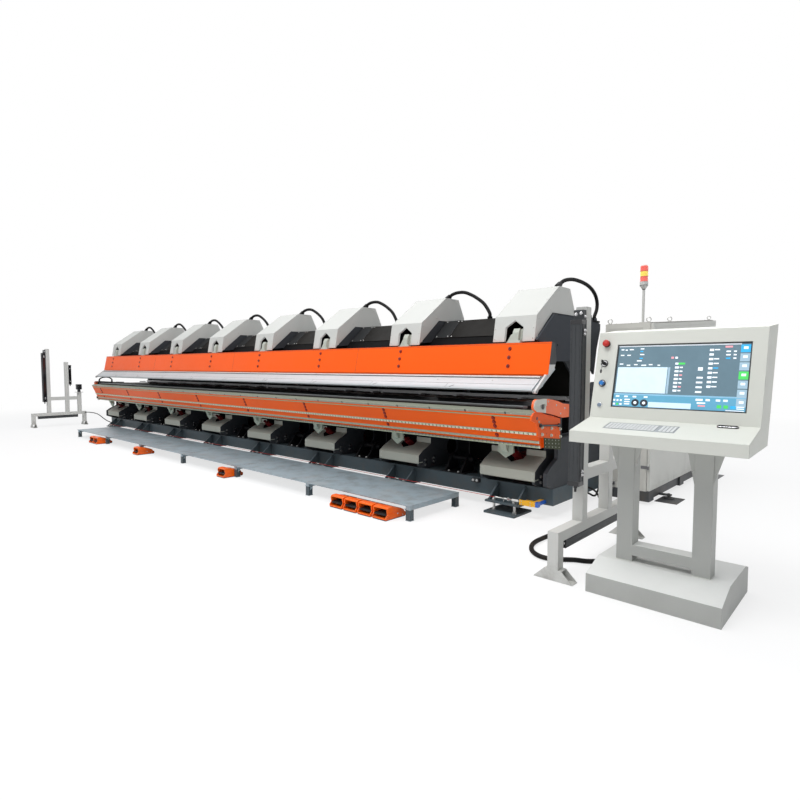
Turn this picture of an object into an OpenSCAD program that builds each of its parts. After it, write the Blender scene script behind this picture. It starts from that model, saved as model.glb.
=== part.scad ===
// Long double folding machine for sheet metal, with its control desk, light curtain stands,
// operator step, foot switches and cabinet. X runs along the beams, -Y is the operator's side
// and +Z is up. The origin lies on the floor in the middle of the base. All sizes are in mm.

/* [Machine] */
// Length of both folding beams
beam_len = 10200; // [7200:50:12400]
// Number of clamping heads
heads = 8; // [5:1:10]
// Distance from a beam's end to the nearest head's centre
end_margin = 406; // [330:2:600]
// Height of the folding axis above the floor
axis_z = 1006; // [880:1:1250]
// Distance of the folding axis in front of the middle of the base
axis_y = 885; // [840:1:1060]
// Opening between the clamping jaws at rest
jaw_open = 122; // [70:1:150]
// Diameter of the pins that the upper frame turns on
pivot_d = 80; // [50:1:100]
// Radial running clearance of every pin
run_gap = 0.05; // [0.02:0.01:0.09]

/* [Upper heads] */
// Width of a head's sheet cover
head_w = 430; // [360:2:520]
// Thickness of the cover sheets
sheet_t = 3; // [2:0.5:4]
// Thickness of the arm plates
plate_t = 22; // [16:1:30]
// Width of the pentagon hole in each cover
slot_w = 184; // [140:2:220]
// Width of the lever arms
lever_w = 62; // [40:1:100]

/* [Base] */
// Depth of the base
base_d = 1200; // [1000:10:1400]
// Height of the base
base_h = 150; // [120:5:220]
// Gap between the base and the floor
base_lift = 110; // [100:1:160]
// Width of a lower drive cover
low_cover_w = 575; // [480:5:640]
// Side of a foot's floor plate
foot_w = 320; // [260:5:400]
// Thread diameter of the levelling bolts
level_d = 24; // [16:1:30]

/* [Operator step] */
// Length of the step
step_len = 8490; // [5000:10:9000]
// Depth of the step
step_d = 716; // [600:10:800]
// Height of the step's tread
step_h = 137; // [100:1:180]
// Side of the step's square posts
step_post = 50; // [30:1:60]

/* [Foot switches] */
// Width of a foot switch
pedal_w = 172; // [140:1:185]
// Height of a foot switch's hood
pedal_h = 116; // [100:1:140]
// Distance between neighbouring foot switches
pedal_pitch = 193; // [190:1:240]

/* [Control desk] */
// Width of the desk's housing
desk_w = 914; // [820:1:1100]
// Width of the screen
screen_w = 720; // [560:1:740]
// Height of the screen
screen_h = 396; // [320:1:410]
// Width of the desk's foot
desk_foot_w = 716; // [620:1:800]
// Outer distance over the desk's two legs
desk_legs_w = 512; // [420:1:560]
// Diameter of the push buttons' shafts
button_d = 22; // [16:0.5:26]

/* [Light curtains] */
// Side of the stands' square tubes
tube_w = 72; // [50:1:90]
// Wall of the stands' tubes
tube_t = 4; // [2:0.5:6]
// Height of the front post
post_h = 1725; // [1400:5:1900]
// Width of a stand's foot
stand_foot_w = 264; // [200:2:320]

/* [Cabinet] */
// Width of the cabinet along the machine's depth
cab_w = 2340; // [1900:10:2600]
// Depth of the cabinet
cab_d = 460; // [400:5:480]
// Height of the cabinet's front edge above the floor
cab_top = 1757; // [1500:1:1900]
// Rise of its roof from the front to the rear
cab_rise = 169; // [100:1:220]
// Diameter of the signal lamp
lamp_d = 76; // [50:1:90]

/* [Hidden] */
$fn = 48;

ORANGE = "#ff6b1a";
PALE = "#d7d7d0";
DARK = "#46484c";
BLACK = "#1d1e20";
BASE_GREY = "#425056";
STEP_GREY = "#8c9ea5";
DESK_GREY = "#cdcec4";
STAND_GREY = "#a5a5a2";
STEEL = "#c9cacb";
RED = "#c8281e";

// Base and station positions
pitch = (beam_len - 2 * end_margin) / (heads - 1);
base_len = beam_len + 10;
base_top = base_lift + base_h;
front_y = -base_d / 2;
function head_x(i) = (i - (heads - 1) / 2) * pitch;
module at_heads() for (i = [0:heads - 1]) translate([head_x(i), 0, 0]) children();
module both_sides() for (s = [0, 1]) mirror([s, 0, 0]) children();

// A plate cut from a [y, z] outline, standing across X from x0
module plate_x(x0, t, outline) translate([x0, 0, 0]) rotate([90, 0, 90]) linear_extrude(t) polygon(outline);
// A pin or bore along X
module rod_x(x0, x1, d, at) translate([x0, at[0], at[1]]) rotate([0, 90, 0]) cylinder(h = x1 - x0, d = d);
// A plate cut from an [x, z] outline, from y0 towards +Y
module plate_y(y0, t, outline) translate([0, y0 + t, 0]) rotate([90, 0, 0]) linear_extrude(t) polygon(outline);

// Welded hollow beam with closed ends; outlines run clockwise
function inset(p, t) = [for (i = [0:len(p) - 1])
  let (n = len(p), a = right_of(unit(p[i] - p[(i + n - 1) % n])), b = right_of(unit(p[(i + 1) % n] - p[i])))
  p[i] + (a + b) * t / (1 + a * b)];
module box_beam(half, outline, wall) difference() {
  plate_x(-half, 2 * half, outline);
  plate_x(-half + wall, 2 * (half - wall), inset(outline, wall));
}
// Closed box of sheet or tube, standing at the origin
module shell_box(size, wall) difference() {
  cube(size);
  translate([wall, wall, wall]) cube(size - 2 * wall * [1, 1, 1]);
}

// Bent sheet: a closed outline at thickness t to the right of an open line of points
function unit(v) = v / norm(v);
function right_of(v) = [v[1], -v[0]];
function edge_normal(p, i) = right_of(unit(p[i + 1] - p[i]));
function offset_point(p, i, t) =
  let (last = len(p) - 1,
       a = edge_normal(p, max(i - 1, 0)),
       b = edge_normal(p, min(i, last - 1)))
  p[i] + (a + b) * t / (1 + a * b);
function inner_line(p, t) = [for (i = [0:len(p) - 1]) offset_point(p, i, t)];
function bent(p, t) = concat(p, [for (i = [len(p) - 1:-1:0]) offset_point(p, i, t)]);
function turn(v, a) = [v[0] * cos(a) - v[1] * sin(a), v[0] * sin(a) + v[1] * cos(a)];

// Round tube swept along points as one closed skin; the path never runs along the side vector
function ring(c, d, dia, n, side) =
  let (u = unit(cross(d, side)), v = cross(unit(d), u))
  [for (k = [0:n - 1]) c + dia / 2 * (u * cos(360 * k / n) + v * sin(360 * k / n))];
function path_dir(p, i) = unit(p[min(i + 1, len(p) - 1)] - p[max(i - 1, 0)]);
module sweep(p, dia, side = [0, 0, 1], n = 8) {
  rings = [for (i = [0:len(p) - 1]) each ring(p[i], path_dir(p, i), dia, n, side)];
  last = len(p) - 1;
  sides = [for (i = [0:last - 1], k = [0:n - 1])
    [i * n + k, i * n + (k + 1) % n, (i + 1) * n + (k + 1) % n, (i + 1) * n + k]];
  polyhedron(rings, concat([[for (k = [n - 1:-1:0]) k]], sides, [[for (k = [0:n - 1]) last * n + k]]));
}

// Gap left between faces that are only screwed together
seat_gap = 0.02;
// Folding axis of the lower beam, pivot of the upper frame, and the upper axis at rest
low_axis = [-axis_y, axis_z];
clamp_pivot = [300, axis_z + jaw_open / 2];
clamp_angle = 2 * asin(jaw_open / 2 / (axis_y + clamp_pivot[0]));
up_axis = clamp_pivot + turn(low_axis - clamp_pivot, -clamp_angle);
function up(pts) = [for (p = pts) up_axis + p];
function low(pts) = [for (p = pts) low_axis + p];
function onbase(pts) = [for (p = pts) [front_y, base_top] + p];

beam_half = beam_len / 2;
frame_half = beam_half - 150;
journal_d = 28;
up_journal_d = 20;
ear_d = 34;
arm_out = head_w / 2 - sheet_t;
low_arm_out = low_cover_w / 2 - sheet_t;

// Rear tail of the upper arms, where the clamp cylinders push
tail_pin_d = 40;
tail = clamp_pivot + [180, 182];
trunnion = [tail[0], base_top + 260];

// ---------------------------------------------------------------- base and fixed frame
rail_w = 180;
cross_w = 240;
deck_t = 10;
base_wall = 12;
flange_t = 18;
foot_t = 20;
foot_front = front_y - 233;
bolt_y = front_y - 140;
module gusset() plate_x(-8, 16, [[front_y, base_top - 12], [front_y, base_lift], [front_y - 165, base_lift],
  [front_y - 165, base_lift + 14], [front_y - 14, base_top - 12]]);
module foot_flange() difference() {
  translate([-foot_w / 2 - 20, front_y - 185, base_lift - flange_t]) cube([foot_w + 40, 250, flange_t]);
  for (s = [-1, 1]) translate([s * foot_w / 3, bolt_y, 0]) cylinder(h = base_lift + 1, d = level_d + 1);
}
module front_and_rear() for (a = [0, 180]) rotate([0, 0, a]) children();
module base_frame() color(BASE_GREY) {
  for (s = [-1, 1]) translate([-base_len / 2, s * (base_d - rail_w) / 2 - rail_w / 2, base_lift])
    shell_box([base_len, rail_w, base_h - deck_t], base_wall);
  at_heads() translate([-cross_w / 2, -base_d / 2 + 1, base_lift])
    shell_box([cross_w, base_d - 2, base_h - deck_t], base_wall);
  both_sides() translate([base_len / 2 - rail_w - 1, -base_d / 2 + 1, base_lift])
    shell_box([rail_w, base_d - 2, base_h - deck_t], base_wall);
  translate([-base_len / 2, -base_d / 2, base_top - deck_t]) cube([base_len, base_d, deck_t]);
  front_and_rear() at_heads() {
    foot_flange();
    for (s = [-1, 1]) translate([s * 145, 0, 0]) gusset();
  }
  for (c = [cable_a, cable_b]) rod_x(base_len / 2 - 1, c[0][0], cable_gland_d, [c[0][1], c[0][2]]);
  rod_x(left_cable_end[0], -base_len / 2 + 1, cable_gland_d, [left_cable_end[1], left_cable_end[2]]);
}
module foot_plates() color(BASE_GREY) front_and_rear() at_heads()
  translate([-foot_w / 2, foot_front, 0]) cube([foot_w, 310, foot_t]);

rope_y = front_y - 150;
rope_z = base_lift + 30;
module rope_eye(x) translate([x, rope_y, 0]) {
  translate([0, 0, base_lift]) cylinder(h = rope_z - base_lift - 9, d = 8);
  translate([0, 0, rope_z]) rotate([0, 90, 0]) rotate_extrude() translate([9.5, 0]) circle(d = 5);
}
module levelling_bolt() translate([0, 0, foot_t]) {
  cylinder(h = base_lift - foot_t + 26, d = level_d);
  translate([0, 0, base_lift - foot_t]) cylinder(h = level_d * 0.7, d = level_d * 1.7, $fn = 6);
  cylinder(h = 12, d = level_d * 1.7, $fn = 6);
}
module root_fasteners() color(STEEL) {
  front_and_rear() at_heads() for (s = [-1, 1]) translate([s * foot_w / 3, bolt_y, 0]) levelling_bolt();
  at_heads() rope_eye(0);
  for (p = [[30, 40], [cab_d - 66, 62], [cab_d - 66, cab_w * 0.3], [cab_d - 66, cab_w - 62]])
    on_roof(p[0], p[1]) lifting_eye();
  low_arm_bolts();
}
module lifting_eye() {
  cylinder(h = 10, d = 34);
  translate([0, 0, 32]) rotate([90, 0, 20]) rotate_extrude() translate([20, 0]) circle(d = 10);
}

// Outline of the lower drive cover's front, from its bottom edge up and back
cover_line = onbase([[-108, 68], [-108, 151], [-34, 201], [92, 260], [92, 317]]);
cover_in = inner_line(cover_line, sheet_t);
seat_z = axis_z - 306;
low_arm_outline = concat(
  [[front_y + 1, base_top], [front_y - 104, base_top + 40]],
  cover_in,
  [[cover_in[4][0], seat_z - 60], low_axis + [170, -306], [150, seat_z], [180, axis_z - 110],
   [180, clamp_pivot[1] + 60], [240, clamp_pivot[1] + 120], [360, clamp_pivot[1] + 120],
   [420, clamp_pivot[1] + 60], [560, seat_z], [560, base_top]]);
post_w = 40;
post_at = [60, 380];
module fixed_arm(x0, t) difference() {
  union() {
    plate_x(x0, t, low_arm_outline);
    for (y = post_at) translate([x0, slat_y0 + y, seat_z - 10]) cube([t, post_w, axis_z - 71 - seat_z + 10]);
  }
  rod_x(x0 - 1, x0 + t + 1, pivot_d, clamp_pivot);
  rod_x(x0 - 1, x0 + t + 1, tail_pin_d + 2 * run_gap, trunnion);
  rod_x(x0 - 1, x0 + t + 1, 200, [-120, base_top + 190]);
}
module lower_arms() color(DARK) at_heads() both_sides() fixed_arm(low_arm_out - plate_t, plate_t);
module low_arm_bolts() at_heads() both_sides()
  for (p = [[0, 45], [0, 95], [140, 60], [140, 100]])
    translate([low_arm_out, front_y + p[0], base_top + p[1]]) rotate([0, 90, 0])
      cylinder(h = 14, d = 26, $fn = 6);

end_in = beam_half - 40;
end_out = beam_half - 4;
module end_frames() color(DARK) both_sides() {
  plate_x(end_in, end_out - end_in, low_arm_outline);
  plate_x(end_out, beam_half + 18 - end_out, low([[400, -115], [560, -115], [560, 4], [400, 12]]));
}

module lower_covers() color(PALE) at_heads() difference() {
  plate_x(-low_cover_w / 2, low_cover_w, bent(cover_line, sheet_t));
  translate([0, front_y, base_top + 150]) linear_extrude(200)
    polygon([[0, -30], [slot_w / 2, 36], [slot_w / 2, 120], [-slot_w / 2, 120], [-slot_w / 2, 36]]);
}

// Lower clamp beam and its hardened jaw
low_beam_half = frame_half;
beam_wall = 20;
module lower_clamp_beam() color(BLACK) difference() {
  plate_x(-low_beam_half, 2 * low_beam_half,
    low([[30, -28], [90, -28], [90, -6], [585, -6], [585, -306], [165, -306], [120, -180], [62, -64]]));
  plate_x(-low_beam_half + beam_wall, 2 * (low_beam_half - beam_wall),
    low([[110, -50], [565, -50], [565, -286], [180, -286], [140, -180], [96, -80]]));
}
module lower_jaw() color(STEEL) plate_x(-low_beam_half, 2 * low_beam_half,
  low([[4, -6], [90, -6], [90, -28], [30, -28], [14, -20]]));

// Sheet support: slats along Y on two rails, carried by the posts of the arms
slat_y0 = low_axis[0] + 587;
slat_l = 460;
slat_w = 70;
slat_pitch = 165;
slats = 2 * floor(low_beam_half / slat_pitch - 0.5);
module support_table() color("#5a4a3c") {
  for (i = [0:slats]) translate([(i - slats / 2) * slat_pitch - slat_w / 2, slat_y0, axis_z - 31])
    cube([slat_w, slat_l, 25]);
  for (y = post_at) translate([-low_beam_half + 20, slat_y0 + y, axis_z - 71])
    cube([2 * low_beam_half - 40, post_w, 41]);
}

// Lower drives, one gear unit with a push rod in every lower cover
module lower_drives() color("#7a1f22") at_heads() {
  translate([-75, front_y + 150, base_top]) cube([150, 230, 250]);
  translate([40, front_y + 380, base_top + 120]) rotate([-90, 0, 0]) cylinder(h = 220, d = 150);
  translate([0, front_y + 160, base_top + 200]) rotate([58, 0, 0]) {
    cylinder(h = 150, d = 70);
    cylinder(h = 205, d = 34);
  }
}

module pivot_pins() color(STEEL) {
  at_heads() rod_x(-low_arm_out - 6, low_arm_out + 6, pivot_d, clamp_pivot);
  both_sides() rod_x(beam_half - 2, beam_half + 44, journal_d, low_axis);
}

// Clamp cylinders: the barrel swings on its trunnion, the rod's crosshead pushes the arms' tails
rod_d = 50;
barrel_d = 110;
module clamp_barrels() color(DARK) at_heads() difference() {
  union() {
    translate([0, trunnion[0], trunnion[1] - 60]) cylinder(h = 480, d = barrel_d);
    rod_x(-low_arm_out - 4, low_arm_out + 4, tail_pin_d, trunnion);
  }
  translate([0, trunnion[0], trunnion[1] + 60]) cylinder(h = 500, d = rod_d + 2 * run_gap);
}
module clamp_rods() color(STEEL) at_heads() {
  translate([0, tail[0], trunnion[1] + 120]) cylinder(h = tail[1] - trunnion[1] - 120, d = rod_d);
  rod_x(-arm_out - 4, arm_out + 4, tail_pin_d - 4, tail);
  rod_x(-45, 45, 84, tail);
}

// Orange end noses around the lower folding axis, with a pale cap inset in each
nose_x = beam_half + 18;
nose_t = 22;
nose_outline = low(concat(
  [for (a = [200:-20:80]) [-88 + 62 * cos(a), 8 + 58 * sin(a)]],
  [[168, 53], [272, 35], [369, 10], [560, -10], [560, -116], [374, -116], [229, -84], [90, -60], [1, -48],
   [-93, -38]]));
cap_outline = low([[-150, 10], [-138, 40], [-97, 62], [0, 66], [114, 62], [114, 4], [40, 4], [28, 20],
  [-22, 22], [-44, 6]]);
// The far end has a low bearing plate instead, with a looped hose on its top edge
ear_outline = low([[-26, -14], [-20, 18], [0, 28], [110, 28], [369, 8], [560, -10], [560, -116], [374, -116],
  [229, -84], [90, -60], [10, -34]]);
loop_y = [low_axis[0] + 77, low_axis[0] + 325];
module end_noses() {
  color(ORANGE) difference() {
    union() {
      plate_x(nose_x, nose_t, nose_outline);
      plate_x(nose_x + nose_t, 6, cap_outline);
    }
    rod_x(nose_x - 1, nose_x + nose_t + 7, journal_d, low_axis);
  }
  color(DARK) mirror([1, 0, 0]) difference() {
    union() {
      plate_x(nose_x, nose_t, ear_outline);
      for (y = loop_y) translate([nose_x + 15, y, axis_z - 10]) cylinder(h = 56, d = 34);
    }
    rod_x(nose_x - 1, nose_x + nose_t + 1, journal_d, low_axis);
  }
}

// ---------------------------------------------------------------- upper frame
jaw_slope = 0.649;
function jaw_top(dy, lift) = [dy, 4 + (dy - 4) * jaw_slope + lift];
up_beam_outline = up([[731, 710], [1105, 710], [1105, 480], [800, 330], [560, 215], [394, 189], [345, 226],
  [410, 300], [440, 420], [499, 504]]);
cheek_outline = up([[282, 454], [292, 530], [640, 800], [731, 800], [731, 710], [499, 504], [470, 474]]);
arm_outline = concat(
  up([[1105, 660], [1260, 620], [1460, 480]]),
  [tail + [70, 60], tail + [60, -60], clamp_pivot + [100, 20], clamp_pivot + [60, -90], clamp_pivot + [-60, -90],
   clamp_pivot + [-105, 0], clamp_pivot + [-110, 160]],
  up([[800, 330], [1105, 480]]));
module upper_arms() color(DARK) at_heads() both_sides() {
  plate_x(arm_out - plate_t, plate_t, cheek_outline);
  difference() {
    plate_x(arm_out - plate_t, plate_t, arm_outline);
    rod_x(0, arm_out + 1, pivot_d + 2 * run_gap, clamp_pivot);
    rod_x(0, arm_out + 1, tail_pin_d, tail);
  }
}
end_cheek_x = head_x(heads - 1) + head_w / 2 + 2;
end_cheek_outline = up([[272, 449], [590, 690], [1200, 686], [1560, 682], [1640, 660], [1640, 600], [1560, 400],
  [1500, 130], [1430, 190], [1353, 257], [560, 262], [400, 189], [383, 300], [355, 432]]);
module upper_frame() color(BLACK) {
  box_beam(end_cheek_x, up_beam_outline, beam_wall);
  both_sides() difference() {
    plate_x(end_cheek_x, plate_t, end_cheek_outline);
    for (k = [-1:1]) rod_x(end_cheek_x - 1, end_cheek_x + plate_t + 1, 20, up_axis + [609, 381] + k * [52, 30]);
  }
  for (i = [0:heads - 2]) translate([head_x(i) + hose_run, up_axis[0] + hose_in[0], up_axis[1] + hose_in[1]])
    cylinder(h = gland_h, d = gland_d);
  translate([end_cheek_x - 46, up_axis[0] + 1440, hose_shelf_z - 18]) cube([70, 180, 18]);
  for (g = [[end_hose_in, gland_d], [small_hose_in, small_gland_d]])
    translate([end_cheek_x - 11, up_axis[0] + g[0], hose_shelf_z]) cylinder(h = gland_h, d = g[1]);
  gland_at(head_x(heads - 1) + small_hose_out[0], small_hose_out, 90, small_gland_l, small_gland_d);
}

// Upper jaw: long wedge with journals for the upper folding beam at its ends
jaw_half = beam_half - 48;
module upper_jaw() color(STEEL) {
  difference() {
    plate_x(-jaw_half, 2 * jaw_half, up([jaw_top(4, 0), [343, 224], [390, 187], [156, 44], [60, 8], [8, -3]]));
    plate_x(-jaw_half + beam_wall, 2 * (jaw_half - beam_wall),
      up([[150, 80], [336, 202], [364, 183], [162, 60]]));
  }
  both_sides() {
    rod_x(jaw_half, jaw_half + 12, ear_d, up_axis);
    rod_x(jaw_half + 12, jaw_half + 34, up_journal_d, up_axis);
    plate_x(jaw_half, 12, up([jaw_top(4, 0), jaw_top(120, 0), [150, 46], [60, 8], [0, -ear_d / 2]]));
  }
}

head_line = up([[266, 441], [308, 673], [726, 969], [957, 967], [1066, 762], [1066, 712]]);
head_side = concat(head_line, up([[598, 712]]));
module upper_covers() color(PALE) {
  at_heads() difference() {
    union() {
      plate_x(-head_w / 2, head_w, bent(head_line, sheet_t));
      both_sides() plate_x(head_w / 2 - sheet_t, sheet_t, head_side);
    }
    plate_y(up_axis[0] + 200, 300, [[-slot_w / 2, up_axis[1] + 400], [slot_w / 2, up_axis[1] + 400],
      [slot_w / 2, up_axis[1] + 568], [0, up_axis[1] + 633], [-slot_w / 2, up_axis[1] + 568]]);
  }
  for (i = [0:heads - 2]) gland_at(head_x(i) + hose_out[0], hose_out, 0, gland_l, gland_d);
  gland_at(head_x(heads - 1) + end_hose_out[0], end_hose_out, 90, gland_l, gland_d);
}

// Upper drives inside the heads
module upper_drives() color(DARK) at_heads() translate([0, up_axis[0], up_axis[1]]) {
  translate([-80, 745, 710]) cube([160, 190, 190]);
  translate([0, 935, 790]) rotate([-90, 0, 0]) cylinder(h = 70, d = 120);
  translate([0, 750, 800]) rotate([123, 0, 0]) {
    cylinder(h = 260, d = 60);
    cylinder(h = 380, d = 34);
  }
}

// ---------------------------------------------------------------- upper folding beam
fold_half = beam_half;
fold_wall = 12;
up_fold_half = beam_half - 2;
panel_line = up([[167, 145], [225, 425]]);
module upper_fold_beam() color(ORANGE) {
  box_beam(up_fold_half, up([[225, 425], [285, 415], [320, 262], jaw_top(282, 14), jaw_top(176, 14),
    [167, 145]]), fold_wall);
  both_sides() difference() {
    plate_x(jaw_half + 14, 18, up(concat([[225, 425], [285, 415], [320, 262], jaw_top(282, 14), jaw_top(60, 8)],
      [for (a = [330:-30:150]) ear_d / 2 * [cos(a), sin(a)]], [[167, 145]])));
    rod_x(jaw_half, jaw_half + 60, up_journal_d + 2 * run_gap, up_axis);
  }
}
blade_half = jaw_half - 14;
module upper_fold_blade() color(STEEL) plate_x(-blade_half, 2 * blade_half,
  up([jaw_top(2, 4), jaw_top(282, 4), jaw_top(282, 14), jaw_top(8, 14), jaw_top(-4, 9)]));
// A point on the panel beam's top edge
function top_edge(y) = [y, 425 - (y - 225) / 6 + seat_gap];
module upper_levers() color(PALE) at_heads() translate([35, 0, 0]) {
  plate_x(-lever_w / 2, lever_w, up([top_edge(240), top_edge(282), [300, 470], [314, 530], [300, 552], [276, 556],
    [252, 520]]));
  plate_x(-55, 110, up([top_edge(232), top_edge(284), [286, 424], [262, 448], [238, 446]]));
}
bolt_gap = 80;
panel_dir = unit(panel_line[1] - panel_line[0]);
panel_out = [-panel_dir[1], panel_dir[0]];
module upper_bolts() color(RED) at_heads() for (k = [0:2])
  let (p = panel_line[1] - panel_dir * (54 + bolt_gap * k) + panel_out * seat_gap)
    translate([0, p[0], p[1]]) rotate([90 - atan2(panel_out[1], -panel_out[0]), 0, 0]) {
      cylinder(h = 12, d = 26, $fn = 6);
      cylinder(h = 3, d = 36);
    }

// ---------------------------------------------------------------- lower folding beam
low_face = low([[-79, -52], [52, -359]]);
low_dir = unit(low_face[1] - low_face[0]);
low_out = [low_dir[1], -low_dir[0]];
module lower_fold_beam() color(ORANGE) difference() {
  plate_x(-fold_half, 2 * fold_half,
    low([[-79, -52], [-30, -30], [-8, -32], [30, -80], [92, -200], [112, -330], [100, -352], [52, -359]]));
  plate_x(-fold_half + fold_wall, 2 * (fold_half - fold_wall),
    low([[-58, -60], [-20, -50], [18, -86], [78, -204], [98, -328], [60, -346]]));
}
// Strips on the beam's face: distance down the face, height and how far each stands out
strips = [[0, 22, 3], [40, 8, 4], [182, 22, 9], [262, 20, 9], [306, 24, 7]];
module face_strip(s) {
  a = low_face[0] + low_dir * s[0];
  b = a + low_dir * s[1];
  plate_x(-fold_half, 2 * fold_half, [a + low_out * seat_gap, b + low_out * seat_gap, b + low_out * s[2],
    a + low_out * s[2]]);
}
module lower_fold_strips() color("#a9b59a") for (s = strips) face_strip(s);
module lower_levers() color("#9aa79b") at_heads() {
  plate_y(low_axis[0] + 158, 20, [[-72, axis_z - 345], [72, axis_z - 345], [84, axis_z - 440], [0, axis_z - 496],
    [-84, axis_z - 440]]);
  plate_x(-lever_w / 2, lever_w, low([[100, -352], [112, -330], [158, -345], [158, -440], [130, -420]]));
}
module lower_bolts() color(DARK) at_heads() for (d = [70, 110, 150, 238])
  let (p = low_face[0] + low_dir * d + low_out * seat_gap)
    translate([0, p[0], p[1]]) rotate([90 - atan2(low_out[1], -low_out[0]), 0, 0])
      cylinder(h = 10, d = 24, $fn = 6);
cheek_t = 15;
// Shared rear part of a cheek's outline, and the two different fronts
cheek_rear = [[82, -352], [380, -400], [374, -124], [229, -92], [90, -68], [26, -50], [26, 20], [-26, 20],
  [-30, -40]];
near_cheek = [[-96, -50], [-132, -78], [-140, -105], [-64, -130], [-36, -160], [-25, -246], [-10, -250],
  [72, -270]];
far_cheek = [[-79, -52], [52, -359]];
module cheek(front) color(ORANGE) difference() {
  plate_x(fold_half, cheek_t, low(concat(front, cheek_rear)));
  rod_x(fold_half - 1, fold_half + cheek_t + 1, journal_d + 2 * run_gap, low_axis);
}
module fold_cheeks() {
  cheek(near_cheek);
  mirror([1, 0, 0]) cheek(far_cheek);
}

// ---------------------------------------------------------------- back gauge
gauge_y = slat_y0 + slat_l - 90;
module back_gauge() color(STEEL) {
  translate([-low_beam_half + 60, gauge_y, axis_z + 1]) cube([2 * low_beam_half - 120, 60, 36]);
  at_heads() for (s = [-1, 1]) translate([s * 260 - 20, gauge_y - 120, axis_z + 1]) cube([40, 121, 16]);
}

// ---------------------------------------------------------------- hoses of the upper frame
hose_d = 38;
gland_d = 54;
gland_l = 60;
gland_h = 27;
gland_dir = [30, 17];
// Centres of the tilted glands' end faces: x from the head's centre, y and z from the upper axis
hose_out = [head_w / 2 - 23, 825, 996];
end_hose_out = [head_w / 2 - 29, 795, 996];
small_hose_out = [head_w / 2 - 25, 1108, 742];
small_gland_l = 30;
small_gland_d = 42;
// Upright glands: the run of a hose to the beam behind the next head, and the shelf at the end
hose_run = pitch * 0.56;
hose_in = [785, 709];
hose_shelf_z = up_axis[1] + 693;
end_hose_in = 1560;
small_hose_in = 1462;
module gland_at(x, face, yaw, len, d) translate([x, up_axis[0] + face[1], up_axis[1] + face[2]])
  rotate([0, 0, yaw]) rotate([0, 90 - atan2(gland_dir[1], gland_dir[0]), 0]) translate([0, 0, -len])
    cylinder(h = len, d = d);
function lifted(p) = [for (q = p) [q[0], up_axis[0] + q[1], up_axis[1] + q[2]]];
// Share of the way along X, then y and z
hose_sag = [[0.19, 821, 1028], [0.37, 817, 1022], [0.55, 811, 984], [0.71, 805, 934], [0.85, 799, 876],
  [0.95, 791, 808], [1, 785, 762], [1, 785, 736]];
hose_path = lifted(concat([hose_out, hose_out + [gland_dir[0], 0, gland_dir[1]]],
  [for (q = hose_sag) [hose_out[0] + q[0] * (hose_run - hose_out[0]), q[1], q[2]]]));
// Hoses from the last head to the shelf: y and z, with x easing over to the shelf's glands
shelf_x = head_w / 2 - 9;
function to_shelf(out, yz) = let (n = len(yz) - 1) lifted(concat([out, out + [0, gland_dir[0], gland_dir[1]]],
  [for (i = [0:n]) [shelf_x + (out[0] - shelf_x) * max(0, 1 - (i + 1) / n), yz[i][0], yz[i][1]]]));
end_hose_path = to_shelf(end_hose_out, [[885, 1040], [1045, 1070], [1205, 1072], [1325, 1062], [1435, 1042],
  [1535, 1004], [1606, 950], [1636, 884], [1622, 815], [1585, 768], [end_hose_in, 740], [end_hose_in, 720]]);
small_hose_d = 28;
small_hose_path = to_shelf(small_hose_out, [[1200, 785], [1290, 794], [1370, 782], [1430, 758],
  [small_hose_in, 738], [small_hose_in, 720]]);

// ---------------------------------------------------------------- operator step
step_x0 = 4240 - step_len;
step_y0 = -1527;
step_t = 8;
step_rail = 34;
step_posts = 7;
post_inset = 40;
post_step = (step_len - post_inset - step_post) / (step_posts - 1);
function post_x(i) = step_x0 + post_inset + i * post_step;
module step_deck() color(STEP_GREY) {
  translate([step_x0, step_y0, step_h - step_t]) cube([step_len, step_d, step_t]);
  for (i = [0:step_posts - 1]) translate([post_x(i), step_y0 + 4, step_h - step_t - step_rail])
    cube([step_post, step_d - 8, step_rail]);
  translate([post_x(0), step_y0 + step_d - 44, step_h - step_t - step_rail])
    cube([post_x(step_posts - 1) - post_x(0), 40, step_rail]);
}
module step_posts() color(DARK) for (i = [0:step_posts - 1], y = [step_y0 + 4, step_y0 + step_d - step_post - 4])
  translate([post_x(i), y, 0]) cube([step_post, step_post, step_h - step_t - step_rail]);

// ---------------------------------------------------------------- pull rope
module pull_rope() color(RED) {
  rod_x(head_x(0) - 5, beam_half - 250, 5, [rope_y, rope_z]);
  rod_x(head_x(0) - 18, head_x(0) - 4.5, 22, [rope_y, rope_z]);
}
module rope_switch() color("#f0b400") {
  translate([beam_half - 250, rope_y, rope_z]) rotate([0, 90, 0]) cylinder(h = 70, d = 14);
  translate([beam_half - 180, rope_y - 20, rope_z - 22]) cube([130, 40, 44]);
  translate([beam_half - 120, rope_y + 20, rope_z - 14]) cube([60, front_y - rope_y - 20, 28]);
}

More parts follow.
